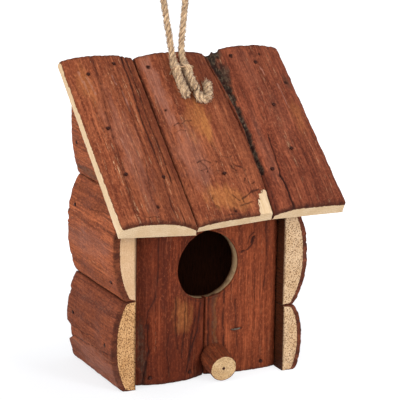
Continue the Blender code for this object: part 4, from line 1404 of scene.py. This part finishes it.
# A brad's head, how far it may lie from the slab's face, and the size of its pit in mm
BRAD_HEAD_HEIGHT = 0.0004
BRAD_SINKING = 0.0015
BRAD_PIT = 1.25


def spots_of(slab, name):
    """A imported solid's vertices in a slab's own frame."""
    matrix = slab.matrix().inverted()
    return [matrix @ vertex.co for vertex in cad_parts[name].data.vertices]


def brad_pits(slab):
    """The places on a slab where the brads' heads are, as pits."""
    found = []
    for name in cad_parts:
        if "brad" not in name:
            continue
        spots = spots_of(slab, name)
        top = max(spot.z for spot in spots)
        head = [spot for spot in spots if spot.z > top - BRAD_HEAD_HEIGHT]
        middle = sum(head, Vector()) / len(head)
        left, right = slab.full_edges(middle.y)
        inside = left < middle.x < right and 0 < middle.y < slab.length
        if inside and abs(slab.thickness(middle.x, middle.y) - middle.z) < BRAD_SINKING:
            found.append((middle.x / MM, middle.y / MM, BRAD_PIT))
    return tuple(found)


def staple_mark(slab, name):
    """A dark dent under a staple's crown."""
    spots = spots_of(slab, name)
    low, high = min(spot.x for spot in spots), max(spot.x for spot in spots)
    along = sum(spot.y for spot in spots) / len(spots)
    return (1.3, 0.35, ((low / MM, along / MM), (high / MM, along / MM)))


def dress_node(name, material):
    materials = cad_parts[name].data.materials
    materials.clear()
    materials.append(material)


CREAM = (0.75, 0.56, 0.36)
CREAM_DEEP = (0.60, 0.40, 0.215)

# Each finish: light, middle and dark bark, pale and deep wood, flecks, pores, bark thickness
FINISHES = {
    "roof_left": (
        (0.274, 0.0773, 0.0319), (0.201, 0.0478, 0.0182), (0.086, 0.0175, 0.0073),
        CREAM, CREAM_DEEP, 0.75, 0.10, 2.9,
    ),
    "roof_middle": (
        (0.266, 0.0745, 0.0315), (0.191, 0.0460, 0.0180), (0.086, 0.0175, 0.0081),
        CREAM, CREAM_DEEP, 0.40, 0.10, 2.5,
    ),
    "roof_right": (
        (0.228, 0.0567, 0.0260), (0.161, 0.0344, 0.0149), (0.074, 0.0158, 0.0074),
        CREAM, CREAM_DEEP, 0.40, 0.10, 2.9,
    ),
    "side": (
        (0.348, 0.0940, 0.0368), (0.250, 0.0608, 0.0230), (0.098, 0.0228, 0.0092),
        (0.640, 0.427, 0.257), (0.510, 0.305, 0.154), 0.25, 0.15, 4.4,
    ),
    "side_right": (
        (0.310, 0.084, 0.038), (0.218, 0.052, 0.024), (0.100, 0.024, 0.012),
        (0.680, 0.480, 0.300), (0.480, 0.280, 0.132), 0.20, 0.85, 3.6,
    ),
    "low_left": (
        (0.225, 0.0582, 0.0244), (0.165, 0.0398, 0.0169), (0.078, 0.0175, 0.0075),
        (0.650, 0.375, 0.172), (0.380, 0.178, 0.060), 0.20, 1.0, 3.8,
    ),
    "front_left": (
        (0.154, 0.0279, 0.0092), (0.109, 0.0180, 0.0056), (0.056, 0.0090, 0.0032),
        (0.50, 0.33, 0.18), CREAM_DEEP, 0.20, 0.3, 2.4,
    ),
    "front_right": (
        (0.228, 0.0484, 0.0170), (0.171, 0.0342, 0.0115), (0.090, 0.0181, 0.0069),
        (0.50, 0.33, 0.18), CREAM_DEEP, 0.15, 0.3, 2.4,
    ),
    "perch": (
        (0.190, 0.0372, 0.0114), (0.128, 0.0232, 0.0070), (0.055, 0.0102, 0.0044),
        (0.680, 0.470, 0.260), (0.490, 0.290, 0.125), 0.2, 0.55, 0.45,
    ),
}

# Steel from bright to tarnished, and the boards' wood from pale to deep
BRAD_TONES = ((0.060, 0.018, 0.012), (0.028, 0.008, 0.005))
STAPLE_TONES = ((0.16, 0.13, 0.10), (0.035, 0.022, 0.014))
RUSTY_TONES = ((0.50, 0.36, 0.24), (0.30, 0.17, 0.085))
BOARD_TONES = ((0.62, 0.42, 0.24), (0.42, 0.25, 0.12))

ROOF_BARKS = (
    Bark(
        3, 0.16, 0.26, 0.50,
        cracks=(
            (0.45, 0.35, ((18.3, 121), (18.3, 111), (17.5, 98))),
            (0.75, 0.70, ((37.6, 121), (36.8, 98.8), (35.5, 81.2), (35.0, 62.6), (34.6, 40.6))),
            (0.60, 0.50, ((34.6, 40.6), (34.5, 31.2), (33.4, 19.0), (32.5, 2.0))),
            (0.65, 0.60, ((40.8, 121), (40.2, 100), (39.5, 75), (39.8, 50), (39.0, 28))),
            (0.45, 0.30, ((30.0, 80.9), (29.5, 66.0), (29.0, 49.1), (23.8, 26.3), (22.4, 14.6))),
            (0.40, 0.25, ((14.2, 82.8), (14.2, 70.9), (12.9, 49.2), (12.6, 34.8))),
            (0.45, 0.40, ((10.0, 4.9), (13.5, 5.2), (16.3, 3.4), (19.0, 4.0), (22.8, 2.9))),
            (0.42, 0.34, ((17.5, 98), (15.0, 78), (13.0, 50), (10.0, 8))),
            (0.42, 0.30, ((23.6, 56), (25.0, 38), (26.0, 15))),
            (0.40, 0.26, ((7.0, 96), (5.8, 70), (5.5, 44))),
        ),
        pits=((24.3, 10.2, 1.35),),
        patches=(
            # Painted shade along the seam, where the crown falls to the middle slab
            ("deep", 43.6, 60, 2.8, 75, 0, 0.60),
            ("ash", 20, 50, 7, 40, 2, 0.30),
            ("ochre", 9, 100, 4, 14, 2, 0.22),
            ("deep", 24, 18, 18, 16, 0, 0.30),
        ),
        trails=(
            ("ash", 0.5, 0.95, ((7.5, 109), (8.0, 101), (9.2, 94))),
            ("ash", 0.4, 0.85, ((11.0, 104), (11.6, 98), (12.0, 91))),
            ("ash", 0.4, 0.90, ((26.2, 104), (26.8, 97))),
            ("ash", 0.4, 0.90, ((29.0, 92), (29.6, 84), (29.4, 78))),
            ("ash", 0.4, 0.80, ((17.5, 58), (18.2, 48), (18.0, 40))),
            ("deep", 1.3, 0.50, ((18.3, 121), (17.5, 98), (15.0, 78), (13.0, 50), (10.0, 8))),
            ("deep", 1.5, 0.60, ((37.6, 121), (36.8, 99), (35.2, 70), (34.6, 40), (32.8, 8))),
            ("deep", 1.0, 0.50, ((30.0, 81), (29.0, 49), (26.0, 15))),
        ),
    ),
    Bark(
        17, 0.10, 0.22, 0.25,
        cracks=(
            (0.71, 0.53, ((54.5, 67.3), (57.0, 68.9), (59.5, 68.2), (62.0, 69.6), (65.5, 69.2))),
            (0.57, 0.42, ((55.0, 63.0), (57.5, 64.0), (59.5, 62.8))),
            (0.63, 0.46, ((59.5, 40.0), (62.0, 41.2), (64.5, 40.4), (67.8, 38.6))),
            (0.57, 0.38, ((57.0, 36.0), (60.0, 34.2), (63.0, 34.8))),
            (0.57, 0.38, ((66.5, 31.8), (69.0, 32.7), (72.5, 32.2))),
            (0.63, 0.46, ((80.4, 37.0), (82.5, 35.2), (85.6, 34.2))),
            (0.57, 0.38, ((76.0, 43.0), (79.0, 41.5), (82.0, 42.3))),
            (0.80, 0.57, ((78.5, 12.8), (82.0, 14.6), (85.8, 17.2), (88.0, 17.6), (91.2, 19.0))),
            (0.63, 0.46, ((84.5, 25.0), (86.8, 22.0), (90.0, 23.5))),
            (0.63, 0.46, ((75.5, 8.2), (79.0, 9.4), (84.6, 10.3))),
            (0.57, 0.38, ((63.0, 2.5), (68.0, 3.4), (74.0, 2.6))),
            (0.52, 0.30, ((84.8, 63.7), (86.3, 42.8), (86.3, 22.4), (87.5, 19.0))),
            (0.46, 0.23, ((50.5, 90), (50.2, 60), (50.8, 30))),
        ),
        pits=((53.1, 78.9, 1.0), (71.4, 5.0, 1.0)),
        patches=(
            ("ochre", 69.5, 70, 6.5, 16, -10, 0.38),
            ("ochre", 73.5, 65, 3.4, 12, -6, 0.60),
            ("deep", 88.0, 92, 6.0, 14, 0, 0.50),
            ("ochre", 66.0, 15, 9.0, 8, 0, 0.42),
            ("ochre", 77.0, 12, 6.0, 7, 0, 0.34),
            ("ash", 53.0, 92, 3.6, 34, 2, 0.55),
            ("ash", 62.0, 55, 6.0, 14, 0, 0.30),
            ("ash", 58.0, 42, 8.0, 18, 0, 0.35),
            ("deep", 83.0, 106, 8.0, 17, 0, 0.70),
            # Painted shade along the middle slab's right edge, by the seam
            ("deep", 93.0, 62, 4.0, 34, 0, 0.45),
            ("bare", 95.5, -1.0, 9.8, 18.0, 0, 1.0),
        ),
        flakes=(
            (61, 66, 8, 7, 0.9), (68, 36, 16, 10, 0.9), (82, 24, 9, 15, 1.0),
            (68, 10, 16, 10, 1.0),
        ),
    ),
    Bark(
        29, 0.10, 0.24, 0.30,
        cracks=(
            (0.55, 0.60, ((98.2, 92), (98.7, 72), (98.6, 59), (97.9, 45), (98.0, 33))),
            (0.50, 0.50, ((98.0, 33), (98.3, 18), (97.7, 8), (96.2, 1))),
            (0.45, 0.35, ((110.6, 80), (110.3, 72.4), (109.5, 55.8))),
            (0.60, 0.70, ((109.5, 55.8), (108.1, 39.4), (106.8, 25.8))),
            (0.85, 0.95, ((106.8, 25.8), (107.2, 15.0), (106.9, -1))),
            (0.40, 0.30, ((128.5, 60), (126.0, 30), (125.0, 8))),
        ),
        pits=((135.3, 92.1, 1.5), (124.5, 113, 1.0)),
        patches=(
            ("moss", 98.6, 103, 3.2, 11, -4, 0.9),
            ("moss", 97.0, 117, 5.0, 5.5, 0, 1.0),
            ("moss", 94.5, 119, 2.5, 4.0, 0, 1.0),
            ("moss", 136.0, 91, 2.0, 6, 0, 0.45),
            ("deep", 104.5, 96, 3.0, 26, 0, 0.35),
            ("ash", 112.5, 101, 6.0, 20, 2, 0.09),
            ("ash", 121.0, 62, 7.0, 26, 0, 0.06),
            ("ash", 104.0, 44, 3.0, 28, 0, 0.14),
            ("ochre", 133.0, 66, 4.0, 12, 0, 0.20),
            ("deep", 120.0, 16, 18.0, 15, 0, 0.28),
        ),
        trails=(
            ("moss", 1.6, 1.0, ((94.0, 120), (95.6, 106), (97.6, 92), (98.4, 80))),
            ("moss", 1.2, 1.0, ((98.3, 80), (98.8, 62), (98.4, 46), (97.9, 30))),
            # Painted shadow along the lower seam, below the moss
            ("deep", 2.6, 0.9, ((97.9, 40), (97.4, 20), (96.4, 1))),
            ("ash", 0.4, 0.85, ((121.5, 104), (122.0, 97))),
            ("ash", 0.4, 0.85, ((128.0, 90), (128.6, 80), (129.4, 72))),
        ),
    ),
)
LEFT_BARKS = (
    Bark(
        41, 0.12, 0.26, 0.35,
        cracks=(
            (0.45, 0.45, ((21.4, 66), (22.5, 50), (25.2, 21.1))),
            (0.55, 0.55, ((14.5, 74), (16.1, 57.8), (21.3, 5))),
        ),
        patches=(("ash", 10.0, 26, 9.0, 32, 0, 0.45), ("deep", 40.0, 40, 10.0, 34, 0, 0.35)),
    ),
    Bark(
        53, 0.12, 0.26, 0.35,
        cracks=((0.45, 0.40, ((43.5, 50), (46.0, 30), (48.5, 10.4))),),
        pits=((9.0, 12, 1.2),),
        patches=(
            ("deep", 51.0, 50, 7.0, 30, 0, 0.45),
            ("ash", 25.0, 40, 8.0, 32, 4, 0.32),
            ("deep", 7.0, 30, 4.0, 40, 0, 0.35),
        ),
    ),
    Bark(67, 0.12, 0.26, 0.40, patches=(("moss", 4.0, 50, 3.0, 30, 0, 0.55),)),
)
RIGHT_BARKS = (
    Bark(
        71, 0.13, 0.28, 0.40,
        cracks=((0.50, 0.50, ((14.0, 2), (15.5, 24), (13.0, 46))),),
        patches=(("ash", 22, 40, 8, 26, 0, 0.35), ("deep", 36, 30, 6, 40, 0, 0.45)),
    ),
    Bark(
        83, 0.13, 0.28, 0.40,
        cracks=(
            (0.55, 0.55, ((38.0, 70), (36.5, 48), (39.0, 22), (37.5, 8))),
            (0.45, 0.45, ((16.0, 60), (18.0, 36), (16.5, 18))),
        ),
        patches=(
            ("ash", 28, 30, 10, 28, 3, 0.35),
            ("deep", 52, 40, 7, 40, 0, 0.50),
            ("moss", 5, 50, 3, 22, 0, 0.40),
        ),
        flakes=((44, 52, 9, 12, 0.7),),
    ),
    Bark(97, 0.12, 0.26, 0.38, patches=(("deep", 30, 50, 8, 24, 0, 0.45),)),
    Bark(101, 0.12, 0.26, 0.38, patches=(("moss", 8, 62, 5, 12, 0, 0.45),)),
)
FRONT_BARKS = (
    Bark(
        113, 0.16, 0.34, 0.45,
        cracks=(
            (0.84, 0.70, ((8.6, 36.3), (8.3, 28.4), (9.0, 20.3), (6.0, 1.0))),
            (0.60, 0.49, ((14.0, 98), (14.2, 67.3), (12.8, 51.8), (8.7, 44.2), (7.0, 34))),
            (0.78, 0.65, ((33.0, 5), (37.0, 20.4), (40.9, 28.8), (43.2, 44.2))),
            (0.72, 0.59, ((38.9, 36.9), (36.0, 24), (35.0, 12))),
            (0.60, 0.49, ((31.5, 44), (31.0, 30), (29.0, 14))),
            (0.60, 0.49, ((25.5, 52), (25.0, 36), (26.5, 20))),
            (0.60, 0.43, ((21.0, 30), (19.5, 18), (22.0, 4))),
        ),
        patches=(
            ("moss", 5.0, 20, 2.6, 20, 3, 0.45),
            ("deep", 8.0, 60, 6.0, 50, 0, 0.45),
            ("deep", 20.0, 10, 16.0, 18, 0, 0.60),
            # Painted shadow just left of the perch
            ("deep", 44.5, 12, 4.5, 11, 0, 1.0),
            ("ochre", 30.0, 40, 6.0, 11, 0, 0.30),
        ),
        trails=(
            ("deep", 2.2, 0.75, ((43.4, 46), (41.2, 29), (37.5, 20), (33.0, 5))),
            ("deep", 1.6, 0.65, ((38.9, 38), (36.0, 24), (35.0, 12))),
            ("deep", 1.8, 0.65, ((8.6, 38), (9.0, 20), (6.0, 1))),
            ("deep", 1.6, 0.60, ((14.2, 98), (14.2, 67), (12.6, 52), (8.8, 44))),
            ("deep", 1.2, 0.50, ((25.5, 54), (25.0, 36), (26.5, 18))),
        ),
    ),
    Bark(
        127, 0.16, 0.30, 0.40,
        cracks=(
            (0.72, 0.59, ((11.2, 50), (10.7, 34), (11.3, 16))),
            (0.54, 0.43, ((36.7, 96), (36.7, 86.8), (38.1, 67.6), (36.7, 50))),
            (0.72, 0.65, ((21.0, 72.5), (24.8, 73.8), (27.6, 76.2), (28.8, 80.5))),
            (0.87, 0.76, ((27.2, 77.5), (27.9, 80.0))),
            (0.60, 0.49, ((24.6, 77.0), (26.0, 81.5), (28.4, 83.5))),
            (0.66, 0.59, ((1.9, 49), (2.0, 38), (2.1, 18))),
            (0.54, 0.43, ((18.0, 44), (18.6, 30), (19.5, 16))),
            (0.54, 0.43, ((30.0, 60), (30.8, 40), (30.5, 24))),
        ),
        patches=(("deep", 27.0, 78.5, 3.2, 5.5, 0, 0.55),),
        trails=(
            ("moss", 1.5, 0.38, ((5.6, 49), (4.8, 42), (5.6, 36), (4.9, 28), (5.8, 19))),
            ("deep", 3.6, 0.90, ((5.2, 49), (5.0, 36), (5.6, 16))),
            ("ochre", 0.7, 0.24, ((6.4, 46), (5.4, 40), (6.2, 33), (5.2, 27), (6.3, 20))),
            ("deep", 1.2, 0.60, ((9.8, 47), (10.2, 34), (9.6, 18))),
            ("deep", 1.4, 0.50, ((36.7, 96), (36.8, 86), (38.0, 67), (36.7, 48))),
            ("deep", 1.2, 0.45, ((18.0, 46), (18.6, 30), (19.5, 14))),
        ),
    ),
)
BACK_BARKS = (
    Bark(
        131, 0.15, 0.32, 0.50,
        cracks=(
            (0.60, 0.60, ((12.0, 4), (13.5, 40), (11.5, 84), (12.5, 130))),
            (0.50, 0.50, ((31.0, 20), (30.0, 62), (32.0, 104))),
        ),
        patches=(
            ("deep", 40, 70, 6, 70, 0, 0.50),
            ("ochre", 22, 104, 5, 15, 0, 0.30),
            ("ash", 20, 40, 8, 34, 0, 0.30),
        ),
        flakes=((24, 60, 12, 16, 0.7),),
    ),
    Bark(
        149, 0.15, 0.32, 0.50,
        cracks=(
            (0.60, 0.60, ((34.0, 10), (33.0, 54), (35.5, 98))),
            (0.45, 0.45, ((18.0, 60), (19.5, 96), (18.5, 134))),
        ),
        patches=(
            ("deep", 8, 60, 6, 80, 0, 0.50),
            ("moss", 46, 20, 4, 22, 0, 0.45),
            ("ash", 27, 110, 8, 30, 0, 0.30),
        ),
        flakes=((28, 34, 12, 14, 0.7),),
    ),
)


def add_roof(paints):
    left, middle, right = slabs = roof_slabs(ROOF_BARKS)
    left.thin_edge = 2.0
    left.barked_sides = (False, True)
    middle.barked_sides = (True, True)
    right.barked_sides = (True, False)
    right.notches = ((94.6, 1.4, 2.6), (98.6, 1.0, 1.2))
    for slab, finish in zip(slabs, ("roof_left", "roof_middle", "roof_right")):
        add_slab(slab, paints[finish], step=0.55 * MM, levels=9)


def add_side_walls(paints):
    lower, middle, _ = slabs = side_slabs(
        -1, ("lower", "middle", "upper"), LEFT_COURSES, LEFT_THICKNESSES, LEFT_ENDS_AHEAD,
        LEFT_BARKS,
    )
    lower.start_rough = 1.6
    lower.notches = ((17.5, 4.6, 5.5), (41.0, 2.0, 1.5))
    middle.notches = ((33.0, 1.6, 1.4), (9.0, 1.5, 1.2))
    for slab, finish, torn in zip(slabs, ("low_left", "side", "side"), (1.8, 1.6, 1.6)):
        slab.dark_inside = True
        slab.end_rough = torn
        add_slab(slab, paints[finish], step=0.7 * MM)
    for slab in side_slabs(
        1, ("lower", "middle", "upper", "top"), RIGHT_COURSES, RIGHT_THICKNESSES,
        RIGHT_ENDS_AHEAD, RIGHT_BARKS,
    ):
        slab.dark_inside = True
        slab.end_rough = 1.3
        add_slab(slab, paints["side_right"])


def add_end_walls(paints):
    """The front wall, bored for the entrance and dented by its staple, and the back wall."""
    bore = bore_mesh()
    slabs = upright_slabs(-1, FRONT_SEAM, FRONT_THICKNESSES, FRONT_CROWN_SHARES, FRONT_BARKS)
    stapled = slabs[1]
    stapled.bark.cracks = (*stapled.bark.cracks, staple_mark(stapled, "front_staple"))
    for slab, finish in zip(slabs, ("front_left", "front_right")):
        add_slab(slab, paints[finish], 0.6 * MM, bore=bore)
    for slab in upright_slabs(1, BACK_SEAM, BACK_THICKNESSES, BACK_CROWN_SHARES, BACK_BARKS):
        add_slab(slab, paints["side"], step=1.0 * MM, levels=7)


def dress_solids(wood_tree):
    """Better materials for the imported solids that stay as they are."""
    brad_steel = steel_material("dark_brad_steel", *BRAD_TONES, 0.36, 0.10)
    staple_steel = steel_material("staple_steel", *STAPLE_TONES, 0.40)
    tan_steel = steel_material("rusty_staple_steel", *RUSTY_TONES, 0.30)
    board_wood = plain_wood_material("board_wood", wood_tree, *BOARD_TONES, (120, 1000, 1000))
    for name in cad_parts:
        if "brad" in name or "nail" in name:
            dress_node(name, brad_steel)
        elif name == "cord_staple":
            dress_node(name, tan_steel)
        elif "staple" in name:
            dress_node(name, staple_steel)
        elif name in ("floor_board", "front_batten"):
            dress_node(name, board_wood)


add_camera()
add_cords(jute_material())
add_studio()
groups = (bark_group(), wood_group())
paints = {
    name: barked_material(name + "_bark", groups, *values) for name, values in FINISHES.items()
}
add_roof(paints)
add_side_walls(paints)
add_end_walls(paints)
add_perch(paints["perch"])
dress_solids(groups[1])
